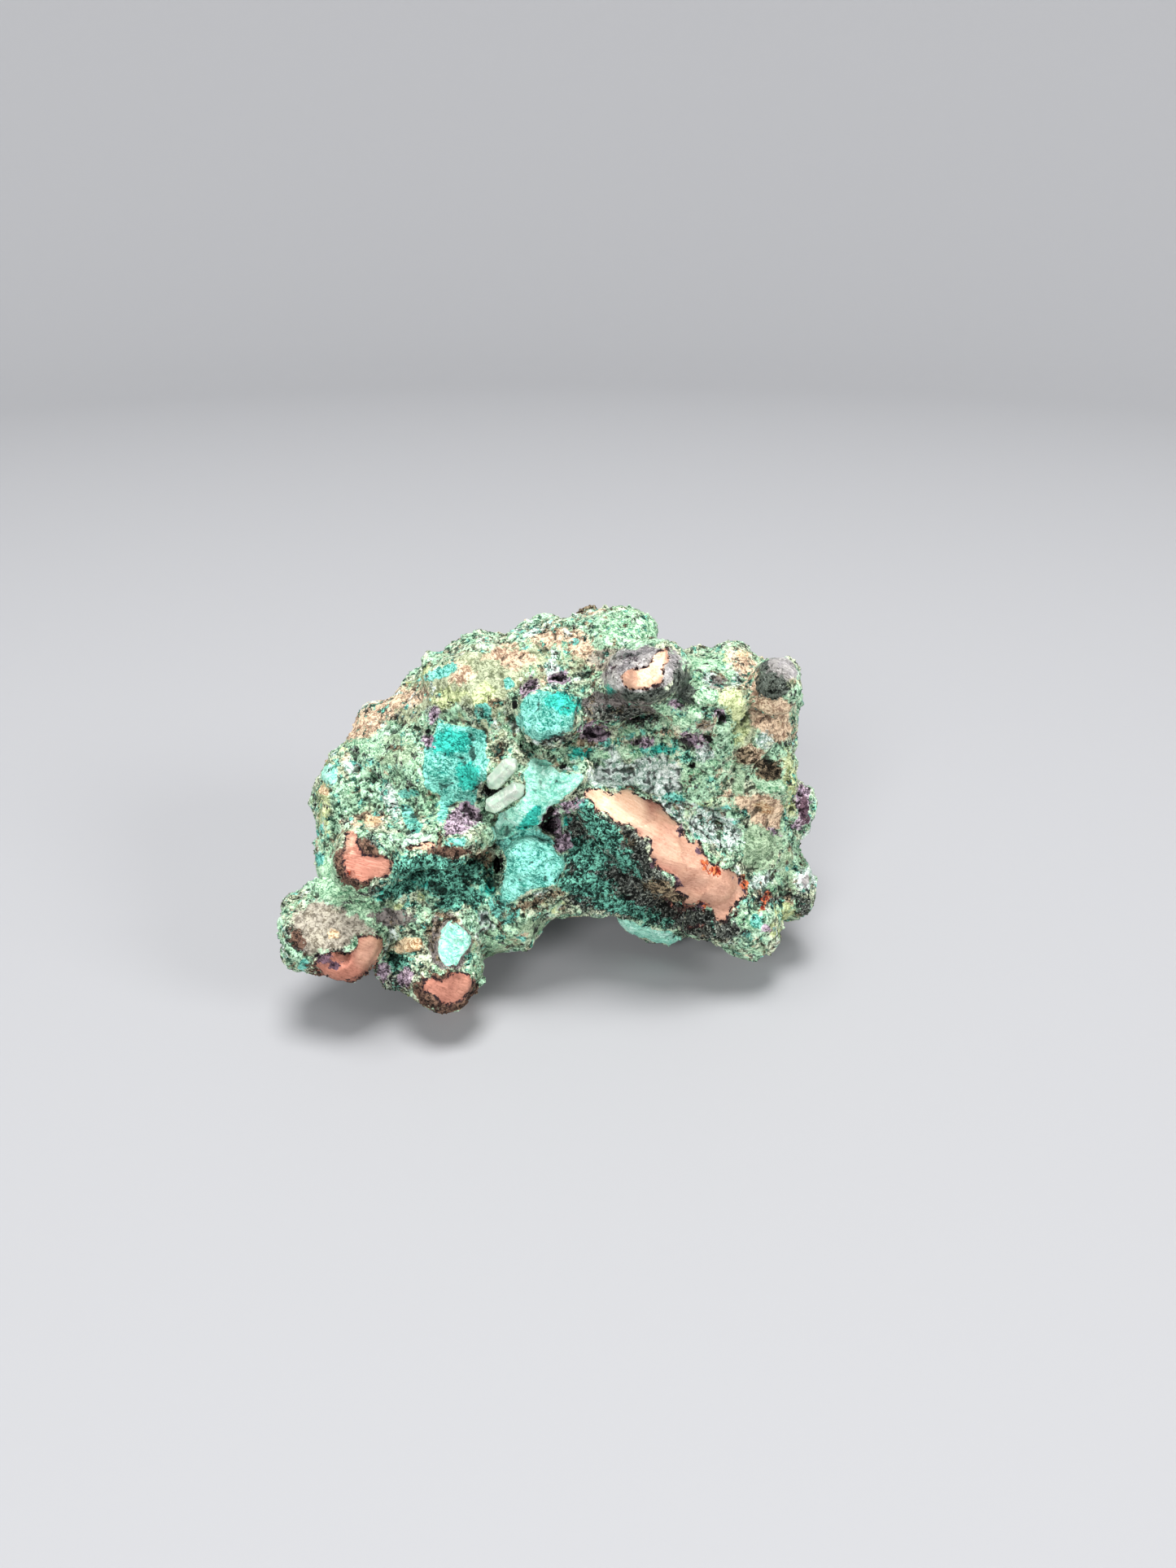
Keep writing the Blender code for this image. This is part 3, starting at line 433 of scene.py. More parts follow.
def off_segment(across, up, start, end):
    """How far each place is from a straight line between two places."""
    du, dv = end[0] - start[0], end[1] - start[1]
    share = np.clip(((across - start[0]) * du + (up - start[1]) * dv) / (du * du + dv * dv), 0, 1)
    return np.hypot(across - start[0] - share * du, up - start[1] - share * dv)


def depth_in_outline(across, up, corners):
    inside = np.zeros(len(across), bool)
    nearest = np.full(len(across), 99.0)
    for start, end in zip(corners, corners[1:] + corners[:1]):
        nearest = np.minimum(nearest, off_segment(across, up, start, end))
        if start[1] != end[1]:
            between = (start[1] > up) != (end[1] > up)
            edge = start[0] + (up - start[1]) * (end[0] - start[0]) / (end[1] - start[1])
            inside ^= between & (across < edge)
    return np.where(inside, nearest, -nearest)


def depth_in(across, up, shape):
    """How far inside a shape of the front map each place is, in millimetres; outside it is below 0."""
    if isinstance(shape[0], tuple):
        return depth_in_outline(across, up, shape)
    return depth_in_ellipse(across, up, *shape)


# Meshes

def read_points(mesh):
    flat = np.empty(len(mesh.vertices) * 3, np.float32)
    mesh.vertices.foreach_get("co", flat)
    return flat.reshape(-1, 3).astype(float) / MM


def read_normals(mesh):
    flat = np.empty(len(mesh.vertices) * 3, np.float32)
    mesh.vertex_normals.foreach_get("vector", flat)
    return flat.reshape(-1, 3).astype(float)


def write_points(mesh, points):
    mesh.vertices.foreach_set("co", (points * MM).astype(np.float32).ravel())
    mesh.update()


def keep_off_floor(mesh):
    points = read_points(mesh)
    points[:, 2] = np.maximum(points[:, 2], 0.0)
    write_points(mesh, points)


def write_field(mesh, name, values):
    """Stores one number for each point of a mesh, for its material."""
    field = mesh.attributes.get(name) or mesh.attributes.new(name, "FLOAT", "POINT")
    field.data.foreach_set("value", values.astype(np.float32))


def new_object(name, mesh):
    obj = bpy.data.objects.new(name, mesh)
    bpy.context.scene.collection.objects.link(obj)
    return obj


def bake(obj):
    """Replaces the object's mesh with what its modifiers make of it."""
    graph = bpy.context.evaluated_depsgraph_get()
    made = bpy.data.meshes.new_from_object(obj.evaluated_get(graph))
    obj.modifiers.clear()
    old = obj.data
    obj.data = made
    bpy.data.meshes.remove(old)


def remesh(obj, voxel_mm, smoothing=0):
    fuse = obj.modifiers.new("fuse", "REMESH")
    fuse.mode = "VOXEL"
    fuse.voxel_size = voxel_mm * MM
    if smoothing:
        soften = obj.modifiers.new("soften", "SMOOTH")
        soften.factor = 0.5
        soften.iterations = smoothing
    bake(obj)


def heights_over_smoothed(obj, smoothing):
    """How far each point stands above the surface that smoothing leaves, in millimetres."""
    points, normals = read_points(obj.data), read_normals(obj.data)
    soften = obj.modifiers.new("soften", "SMOOTH")
    soften.factor = 0.5
    soften.iterations = smoothing
    graph = bpy.context.evaluated_depsgraph_get()
    smooth = bpy.data.meshes.new_from_object(obj.evaluated_get(graph))
    obj.modifiers.clear()
    heights = ((points - read_points(smooth)) * normals).sum(axis=1)
    bpy.data.meshes.remove(smooth)
    return heights


def merged_copy(node_name, name):
    """A copy of a CAD node's mesh with its loose triangles joined."""
    bm = bmesh.new()
    bm.from_mesh(frame["nodes"][node_name].data)
    bmesh.ops.remove_doubles(bm, verts=bm.verts, dist=1e-6)
    mesh = bpy.data.meshes.new(name)
    bm.to_mesh(mesh)
    bm.free()
    return new_object(name, mesh)


# The rock's shape

def front_share(points, normals):
    """1 where the surface faces the camera's side, falling to 0 round the back, with a ragged border."""
    facing = -(normals @ LOOK) + waves(points, 4.0, 301, 2) * 0.12
    return step_up(facing, -0.22, 0.12) * step_up(-points[:, 1], -24, -10)


def finish_fields(points, normals):
    """For each finish, how far inside its patches each point is, in millimetres, from -1.5 to 1.5."""
    across, up = ragged(points, *front_map(points))
    front = front_share(points, normals)
    calm = np.max([depth_in(across, up, shape) for shape in CALM], axis=0)
    fields = {}
    for number, (finish, shapes) in enumerate(FRONT_FINISHES.items()):
        here = np.full(len(points), -FIELD_REACH)
        for shape in shapes:
            here = np.maximum(here, depth_in(across, up, shape))
        if finish in KNOB_FINISHES:
            here -= step_up(points[:, 1], *BEHIND_KNOBS) * 3
        if finish == "copper":
            behind = back_copper(points)
        else:
            size, share = BACK_FINISHES[finish]
            behind = (waves(points, size, 400 + number, 2) - (0.52 - share)) * size * 0.5
        if finish in FRONT_SPECKLE:
            size, share = FRONT_SPECKLE[finish]
            flecks = (waves(points, size, 700 + number, 3) - (0.62 - share)) * size
            here = np.maximum(here, flecks - step_up(calm, -0.4, 0.6) * 3)
        fields[finish] = np.clip(here, -FIELD_REACH, FIELD_REACH) * front \
            + np.clip(behind, -FIELD_REACH, FIELD_REACH) * (1 - front)
    return fields


def marked(points, shapes, normals, elsewhere):
    """The strongest mark of those that reach each point, from 0 to 1, and one value round the back."""
    across, up = front_map(points)
    here = np.zeros(len(points))
    for shape, strength in shapes:
        here = np.maximum(here, step_up(depth_in(across, up, shape), -1, 1) * strength)
    front = front_share(points, normals)
    return np.clip(here * front + elsewhere * (1 - front) + waves(points, 4, 551, 2) * 0.15, 0, 1)


def back_copper(points):
    """How far inside the bare copper of the back each point is."""
    here = np.full(len(points), -FIELD_REACH)
    moved = points + np.stack([waves(points, 2.4, 500 + k, 2) for k in range(3)], axis=1) * 1.3
    for x, y, z, long, deep, high, lean in BACK_COPPER:
        turn = math.radians(lean)
        dx, dy, dz = moved[:, 0] - x, moved[:, 1] - y, moved[:, 2] - z
        along = dx * math.cos(turn) - dz * math.sin(turn)
        over = dz * math.cos(turn) + dx * math.sin(turn)
        inside = 1 - np.sqrt((along / long) ** 2 + (dy / deep) ** 2 + (over / high) ** 2)
        here = np.maximum(here, inside * min(long, deep, high))
    return here


def behind_plane(points, across, up, inside):
    """How far behind a plane laid on the chosen points' foremost part each point is, along the line of sight.
    Points far behind it belong to something else, and count as on it."""
    map_place = np.stack([across, up, np.ones(len(points))], axis=1)
    depth = points @ LOOK
    chosen = inside > 0.9
    for _ in range(3):
        behind = depth - map_place @ np.linalg.lstsq(map_place[chosen], depth[chosen], rcond=None)[0]
        chosen = (inside > 0.9) & (behind < np.percentile(behind[chosen], 75) + 0.2)
    behind = behind - np.percentile(behind[chosen], 35)
    return np.where(behind < 3, behind, 0)


def sculpt_plates_and_holes(obj):
    """Raises the plates and ledges, and sinks the vugs, pits and cracks, along the camera's line of sight."""
    points, normals = read_points(obj.data), read_normals(obj.data)
    across, up = ragged(points, *front_map(points), 0.5)
    seen = step_up(-(normals @ LOOK), -0.05, 0.3) * step_up(-points[:, 1], -8, 0)
    for shape, share in CUT_FLAT:
        inside = step_up(depth_in(across, up, shape), -0.3, 0.5) * seen
        points += LOOK * (behind_plane(points, across, up, inside) * -inside * share)[:, None]
    push = np.zeros(len(points))
    for shape, height, edge in RAISED:
        push += step_up(depth_in(across, up, shape), -edge / 2, edge / 2) * height
    for shape, depth, edge in SUNK:
        push -= step_up(depth_in(across, up, shape), -edge / 2, edge / 2) * depth
    for corners, half_width, depth in CREASES:
        nearest = np.full(len(points), 9.0)
        for start, end in zip(corners, corners[1:]):
            nearest = np.minimum(nearest, off_segment(across, up, start, end))
        push -= (1 - step_up(nearest, 0, half_width * 2)) * depth
    points -= LOOK * (push * seen)[:, None]
    write_points(obj.data, points)


def kept_relief(fields):
    """The share of the crumbly relief that each point keeps, from the finishes that lie there."""
    kept = 1.0
    for finish, share in RELIEF_KEPT.items():
        inside = step_up(fields[finish], -0.15, 0.25)
        kept = kept * (1 - inside) + share * inside
    return kept


def crumbly_relief(points, settings):
    """The height of the broken crust over the rock's smooth shape, in millimetres."""
    broken = chips(points, 7, 0.1, 51) + chips(points, 3.4, 0.24, 61) + chips(points, 1.7, 0.34, 71)
    near, _, own, _ = crumbs(points, 1.0, 81)
    grit = (0.6 - near) * (0.1 + own) * 0.3
    rubble = waves(points, 1.9, 91, 3) * 0.42
    cracks = -(1 - step_up(np.abs(waves(points, 4.2, 101, 2)), 0.0, 0.09)) \
        * step_up(waves(points, 6, 106), 0, 0.3) * 0.5
    pits = -step_up(waves(points, 2.2, 111, 3), 0.34, 0.5) * 0.5
    wide = waves(points, 5.5, 121, 2) * 0.45
    return wide + (broken + grit + rubble + cracks + pits) * settings.crumb_height / MM


def shape_rock(obj, settings):
    remesh(obj, 0.6, 7)
    sculpt_plates_and_holes(obj)
    remesh(obj, settings.voxel / MM, 1)
    points, normals = read_points(obj.data), read_normals(obj.data)
    fields = finish_fields(points, normals)
    kept = kept_relief(fields)
    on_copper = step_up(fields["copper"], -0.2, 0.2)
    height = crumbly_relief(points, settings) * kept + (1 - on_copper) * settings.crust_thickness / MM
    height += (waves(points, 2.6, 131, 2) * 0.05 + chips(points, 5.5, 0.05, 141)) * on_copper
    write_points(obj.data, points + normals * height[:, None])
    keep_off_floor(obj.data)
    triangles = 2 * len(obj.data.polygons)
    if triangles > MOST_TRIANGLES:
        thin = obj.modifiers.new("thin", "DECIMATE")
        thin.ratio = MOST_TRIANGLES / triangles
        bake(obj)
        keep_off_floor(obj.data)


def store_finishes(obj):
    """Stores what the rock's material reads: each finish's field, and how exposed each point is, which drives
    the painted shade in hollows and the painted highlight on ridges.
    """
    points, normals = read_points(obj.data), read_normals(obj.data)
    for finish, values in finish_fields(points, normals).items():
        write_field(obj.data, finish, values / 3 + 0.5)
    write_field(obj.data, "burnish_and_sheen", marked(points, BURNISH_AND_SHEEN, normals, 0.4))
    write_field(obj.data, "scratched", marked(points, SCRATCHED, normals, 0.3))
    near = heights_over_smoothed(obj, 10)
    far = heights_over_smoothed(obj, 60)
    write_field(obj.data, "exposed", np.clip(0.5 + near * 1.5 + far * 0.45, 0, 1))


# Shader nodes

def feed(tree, socket, value):
    """Links an output to a socket, or sets the socket's own value."""
    if isinstance(value, bpy.types.NodeSocket):
        tree.links.new(value, socket)
    elif socket.type == "RGBA" and len(value) == 3:
        socket.default_value = (*value, 1)
    else:
        socket.default_value = value


def maths(tree, operation, first, second=0.0, third=0.0, clamp=False):
    node = tree.nodes.new("ShaderNodeMath")
    node.operation = operation
    node.use_clamp = clamp
    for socket, value in zip(node.inputs, (first, second, third)):
        feed(tree, socket, value)
    return node.outputs[0]


def rise(tree, value, low, high, bottom=0.0, top=1.0):
    """Takes low..high to bottom..top, smoothly."""
    node = tree.nodes.new("ShaderNodeMapRange")
    node.interpolation_type = "SMOOTHSTEP"
    for socket, number in zip(node.inputs, (value, low, high, bottom, top)):
        feed(tree, socket, number)
    return node.outputs[0]


def blend(tree, share, first, second, way="MIX"):
    node = tree.nodes.new("ShaderNodeMix")
    node.data_type = "RGBA"
    node.blend_type = way
    feed(tree, node.inputs["Factor"], share)
    feed(tree, node.inputs[6], first)
    feed(tree, node.inputs[7], second)
    return node.outputs[2]


def blend_number(tree, share, first, second):
    node = tree.nodes.new("ShaderNodeMix")
    for socket, value in zip(node.inputs, (share, None, first, second)):
        if value is not None:
            feed(tree, socket, value)
    return node.outputs[0]


def field(tree, name):
    node = tree.nodes.new("ShaderNodeAttribute")
    node.attribute_name = name
    return node.outputs["Fac"]


def cloud(tree, place, size_mm, detail=2.0, roughness=0.55, warp=0.0):
    """Noise from 0 to 1 with features about one size across."""
    node = tree.nodes.new("ShaderNodeTexNoise")
    feed(tree, node.inputs["Vector"], place)
    node.inputs["Scale"].default_value = 1 / size_mm
    node.inputs["Detail"].default_value = detail
    node.inputs["Roughness"].default_value = roughness
    node.inputs["Distortion"].default_value = warp
    return node.outputs["Fac"]


def grains(tree, place, size_mm, feature="F1"):
    """Cells of one size: the distance to the middle of a point's own cell, and that cell's colour."""
    node = tree.nodes.new("ShaderNodeTexVoronoi")
    node.feature = feature
    feed(tree, node.inputs["Vector"], place)
    node.inputs["Scale"].default_value = 1 / size_mm
    return node


def in_millimetres(tree):
    """The place on the piece, in millimetres."""
    coordinates = tree.nodes.new("ShaderNodeTexCoord")
    scale = tree.nodes.new("ShaderNodeVectorMath")
    scale.operation = "SCALE"
    feed(tree, scale.inputs[0], coordinates.outputs["Object"])
    scale.inputs["Scale"].default_value = 1 / MM
    return scale.outputs[0]


def bump(tree, height, distance_mm, strength=1.0, under=None):
    node = tree.nodes.new("ShaderNodeBump")
    node.inputs["Strength"].default_value = strength
    node.inputs["Distance"].default_value = distance_mm * MM
    feed(tree, node.inputs["Height"], height)
    if under is not None:
        feed(tree, node.inputs["Normal"], under)
    return node.outputs[0]


def use_group(tree, group, **values):
    node = tree.nodes.new("ShaderNodeGroup")
    node.node_tree = group
    for name, value in values.items():
        feed(tree, node.inputs[name], value)
    return node


def new_group(name, takes, gives):
    """An empty shader node group; takes and gives are its sockets' names and kinds."""
    group = bpy.data.node_groups.new(name, "ShaderNodeTree")
    for side, sockets in (("INPUT", takes), ("OUTPUT", gives)):
        for socket, kind in sockets:
            group.interface.new_socket(socket, in_out=side, socket_type="NodeSocket" + kind)
    return group, group.nodes.new("NodeGroupInput").outputs, group.nodes.new("NodeGroupOutput").inputs


def warped(tree, place, size_mm, reach_mm):
    """The place moved about at random, so that what is drawn there is bent and torn."""
    node = tree.nodes.new("ShaderNodeTexNoise")
    feed(tree, node.inputs["Vector"], place)
    node.inputs["Scale"].default_value = 1 / size_mm
    node.inputs["Detail"].default_value = 3.0
    away = tree.nodes.new("ShaderNodeVectorMath")
    away.operation = "MULTIPLY_ADD"
    feed(tree, away.inputs[0], node.outputs["Color"])
    away.inputs[1].default_value = (reach_mm * 2,) * 3
    feed(tree, away.inputs[2], place)
    return away.outputs[0]


def cell_number(tree, cells, channel=0):
    """The random number of each cell, from 0 to 1."""
    apart = tree.nodes.new("ShaderNodeSeparateColor")
    feed(tree, apart.inputs[0], cells.outputs["Color"])
    return apart.outputs[channel]


def cracks(tree, place, size_mm, width, where_size_mm, low, high):
    """0 along short, bent cracks, and 1 elsewhere."""
    lines = maths(tree, "ABSOLUTE", maths(tree, "SUBTRACT", cloud(tree, place, size_mm, 3.0, 0.6), 0.5))
    line = rise(tree, lines, 0.0, width)
    return maths(tree, "MAXIMUM", line, rise(tree, cloud(tree, place, where_size_mm, 2.0, 0.5), low, high))


def grain_group():
    """Crushed-stone grain: a tone from 0 to 1 and a height, from angular grit, dust and short dark cracks."""
    group, takes, gives = new_group("stone grain", (("Place", "Vector"),),
                                    (("Tone", "Float"), ("Height", "Float"), ("Glint", "Float")))
    place = warped(group, takes["Place"], 1.6, 0.7)
    clumps = cloud(group, place, 1.05, 5.0, 0.74)
    grit = grains(group, place, 0.5)
    fine = grains(group, place, 0.27)
    dust = cloud(group, takes["Place"], 0.3, 3.0, 0.8)
    crack = cracks(group, place, 1.7, 0.035, 2.2, 0.44, 0.52)
    tone = maths(group, "MULTIPLY_ADD", cell_number(group, grit), 0.24, maths(group, "MULTIPLY", dust, 0.85))
    tone = maths(group, "MULTIPLY_ADD", cell_number(group, fine), 0.4, tone)
    tone = maths(group, "MULTIPLY_ADD", rise(group, clumps, 0.34, 0.62), 0.62, tone)
    # Painted glints: a few fine cells are lightened in tone, and the material also makes them shinier.
    glint = rise(group, cell_number(group, fine, 1), 0.8, 0.9)
    tone = maths(group, "MULTIPLY_ADD", glint, 0.2, tone)
    tone = maths(group, "MULTIPLY", rise(group, tone, 0.72, 1.46), blend_number(group, crack, 0.1, 1.0))
    height = maths(group, "MULTIPLY_ADD", grit.outputs["Distance"], -0.55,
                   maths(group, "MULTIPLY", clumps, 2.4))
    height = maths(group, "MULTIPLY_ADD", fine.outputs["Distance"], -0.5, height)
    height = maths(group, "MULTIPLY_ADD", dust, 1.0, height)
    height = maths(group, "MULTIPLY_ADD", crack, 0.35, height)
    feed(group, gives["Tone"], tone)
    feed(group, gives["Height"], height)
    feed(group, gives["Glint"], glint)
    return group


def skin_group():
    """Fine wrinkled crust, its folds lying mostly level: a tone from 0 to 1 and a height."""
    group, takes, gives = new_group("wrinkled skin", (("Place", "Vector"),),
                                    (("Tone", "Float"), ("Height", "Float")))
    bent = warped(group, takes["Place"], 2.4, 0.8)
    laid = group.nodes.new("ShaderNodeMapping")
    laid.vector_type = "TEXTURE"
    feed(group, laid.inputs["Vector"], bent)
    laid.inputs["Rotation"].default_value = (0.1, 0.25, 0)
    laid.inputs["Scale"].default_value = (1.5, 1.2, 0.75)
    folds = cloud(group, laid.outputs[0], 0.62, 4.0, 0.7, 0.6)
    wrinkle = maths(group, "ABSOLUTE",
                    maths(group, "SUBTRACT", cloud(group, laid.outputs[0], 1.1, 4.0, 0.7), 0.5))
    crease = rise(group, wrinkle, 0.0, 0.05)
    broad = cloud(group, bent, 2.6, 3.0, 0.6)
    dust = cloud(group, takes["Place"], 0.25, 2.0, 0.8)
    tone = maths(group, "MULTIPLY_ADD", rise(group, folds, 0.32, 0.6), 0.4,
                 maths(group, "MULTIPLY", dust, 1.3))
    tone = maths(group, "MULTIPLY_ADD", rise(group, broad, 0.34, 0.66), 0.26, tone)
    tone = maths(group, "MULTIPLY_ADD", crease, 0.32, tone)
    feed(group, gives["Tone"], rise(group, tone, 0.84, 1.66))
    height = maths(group, "MULTIPLY_ADD", folds, 1.4, maths(group, "MULTIPLY", crease, 0.55))
    feed(group, gives["Height"], maths(group, "MULTIPLY_ADD", dust, 1.1, height))
    return group


def layer_group():
    """Lays one finish over another where its field, made ragged, is above a half."""
    takes = (("Below", "Color"), ("Field", "Float"), ("Ragged", "Float"), ("Reach", "Float"),
             ("Soft", "Float"),
             ("Tone", "Float"), ("Dark", "Color"), ("Light", "Color"))
    group, takes, gives = new_group("crust layer", takes, (("Colour", "Color"), ("Mask", "Float")))
    centred = maths(group, "SUBTRACT", takes["Ragged"], 0.5)
    edge = maths(group, "MULTIPLY_ADD", centred, takes["Reach"], takes["Field"])
    mask = rise(group, edge, maths(group, "SUBTRACT", 0.5, takes["Soft"]),
                maths(group, "ADD", 0.5, takes["Soft"]))
    own = blend(group, takes["Tone"], takes["Dark"], takes["Light"])
    feed(group, gives["Colour"], blend(group, mask, takes["Below"], own))
    feed(group, gives["Mask"], mask)
    return group


def worn_group():
    """Worn bare copper: a smooth face with soft dents, rub marks along one direction, straight scratches across
    it where it is scratched, and a few pin pits."""
    group, takes, gives = new_group("worn copper", (("Place", "Vector"), ("Scratched", "Float")),
                                    (("Tone", "Float"), ("Height", "Float")))
    lines = []
    for turn, stretch, size in ((0.62, 9.0, 0.3), (0.3, 16.0, 0.24)):
        place = group.nodes.new("ShaderNodeMapping")
        place.vector_type = "TEXTURE"
        feed(group, place.inputs["Vector"], takes["Place"])
        place.inputs["Rotation"].default_value = (0, turn, 0)
        place.inputs["Scale"].default_value = (stretch, 1.6, 1)
        lines.append(cloud(group, place.outputs[0], size, 3.0, 0.6))
    rubbed = rise(group, lines[0], 0.36, 0.64, 0, 0.34)
    scratches = rise(group, lines[1], 0.46, 0.62, 0, 0.8)
    line = blend_number(group, takes["Scratched"], rubbed, scratches)
    dents = cloud(group, takes["Place"], 3.2, 3.0, 0.5)
    pits = cloud(group, takes["Place"], 0.45, 3.0, 0.7)
    tone = maths(group, "ADD", line, rise(group, dents, 0.34, 0.66, 0.05, 0.4))
    tone = maths(group, "ADD", tone, rise(group, pits, 0.34, 0.5, -0.15, 0.2), clamp=True)
    height = maths(group, "MULTIPLY_ADD", dents, 1.6, maths(group, "MULTIPLY", line, 0.6))
    feed(group, gives["Tone"], tone)
    feed(group, gives["Height"], maths(group, "MULTIPLY_ADD", pits, 0.25, height))
    return group


def from_display(*levels):
    """A colour given as 0 to 255 display levels, as the linear light that the shaders take."""
    return tuple(((x / 255 + 0.055) / 1.055) ** 2.4 if x > 10 else x / 255 / 12.92 for x in levels)


# Each finish, in the order in which they lie over each other: its dark and light colours, what gives it its
# tone, and how softly its patches end.
FINISH_COLOURS = {
    "cream": ((104, 112, 84), (192, 200, 166), "grain", 0.12, 0.7),
    "yellow": ((116, 130, 82), (222, 232, 176), "grain", 0.1, 0.6),
    "verdigris": ((40, 78, 56), (198, 240, 204), "grain", 0.12, 0.7),
    "sage": ((84, 116, 84), (190, 216, 180), "skin", 0.05, 0.4),
    "tan": ((136, 108, 88), (242, 214, 182), "grain", 0.1, 0.6),
    "lilac": ((112, 146, 130), (246, 255, 250), "grain", 0.1, 0.6),
    "mint": ((66, 130, 92), (214, 252, 212), "skin", 0.07, 0.6),
    "aqua": ((16, 122, 108), (154, 238, 220), "skin", 0.03, 0.2),
    "slate": ((62, 56, 54), (140, 132, 128), "grain", 0.06, 0.4),
    "pale": ((118, 214, 188), (196, 255, 232), "skin", 0.02, 0.1),
    # Deep turquoise, also the painted shade of the plates' fold.
    "peacock_and_fold_shade": ((0, 100, 92), (70, 214, 194), "skin", 0.1, 0.45),
    "earth": ((104, 96, 84), (186, 178, 162), "grain", 0.08, 0.6),
    # Black crust, also used as painted shadow under knobs and ledges.
    "black_and_shadow": ((10, 14, 12), (200, 208, 196), "glitter", 0.08, 0.8),
    "brown": ((22, 18, 12), (156, 138, 112), "spark", 0.08, 0.7),
    "teal": ((6, 30, 26), (124, 206, 182), "spark", 0.08, 0.8),
    "ochre": ((160, 112, 72), (250, 226, 186), "skin", 0.04, 0.2),
    "cuprite": ((36, 22, 32), (210, 186, 204), "grain", 0.04, 0.4),
    "tarnish": ((22, 16, 14), (120, 92, 78), "grain", 0.05, 0.5),
    # Silvery metal, also used as painted highlight on knob tops.
    "silver_and_highlight": ((38, 36, 36), (226, 220, 220), "metal", 0.06, 0.4),
    "gunmetal": ((14, 17, 16), (104, 112, 106), "grain", 0.08, 0.4),
    "copper": ((120, 74, 62), (186, 126, 108), "metal", 0.02, 0.3),
    "red": ((120, 28, 22), (232, 126, 78), "grain", 0.03, 0.4),
    "speck": ((38, 24, 32), (110, 84, 98), "grain", 0.02, 0.4),
    # Painted shadow for the holes and pits: near black.
    "painted_hole_shadow": ((2, 2, 2), (16, 14, 14), "grain", 0.04, 0.15),
}
ROCK_COLOURS = ((48, 60, 44), (222, 232, 200))
GREEN_ROCK_COLOURS = ((26, 62, 44), (186, 230, 194))
# Rubbed copper, lighter partly from real burnish and partly as painted sheen.
BURNISH_AND_SHEEN_COLOURS = ((240, 188, 154), (252, 226, 196))
BITTEN_COLOUR = (40, 30, 34)
# The colour of the painted shade in the crust's hollows.
PAINTED_HOLLOW_SHADE_COLOUR = (9, 11, 8)


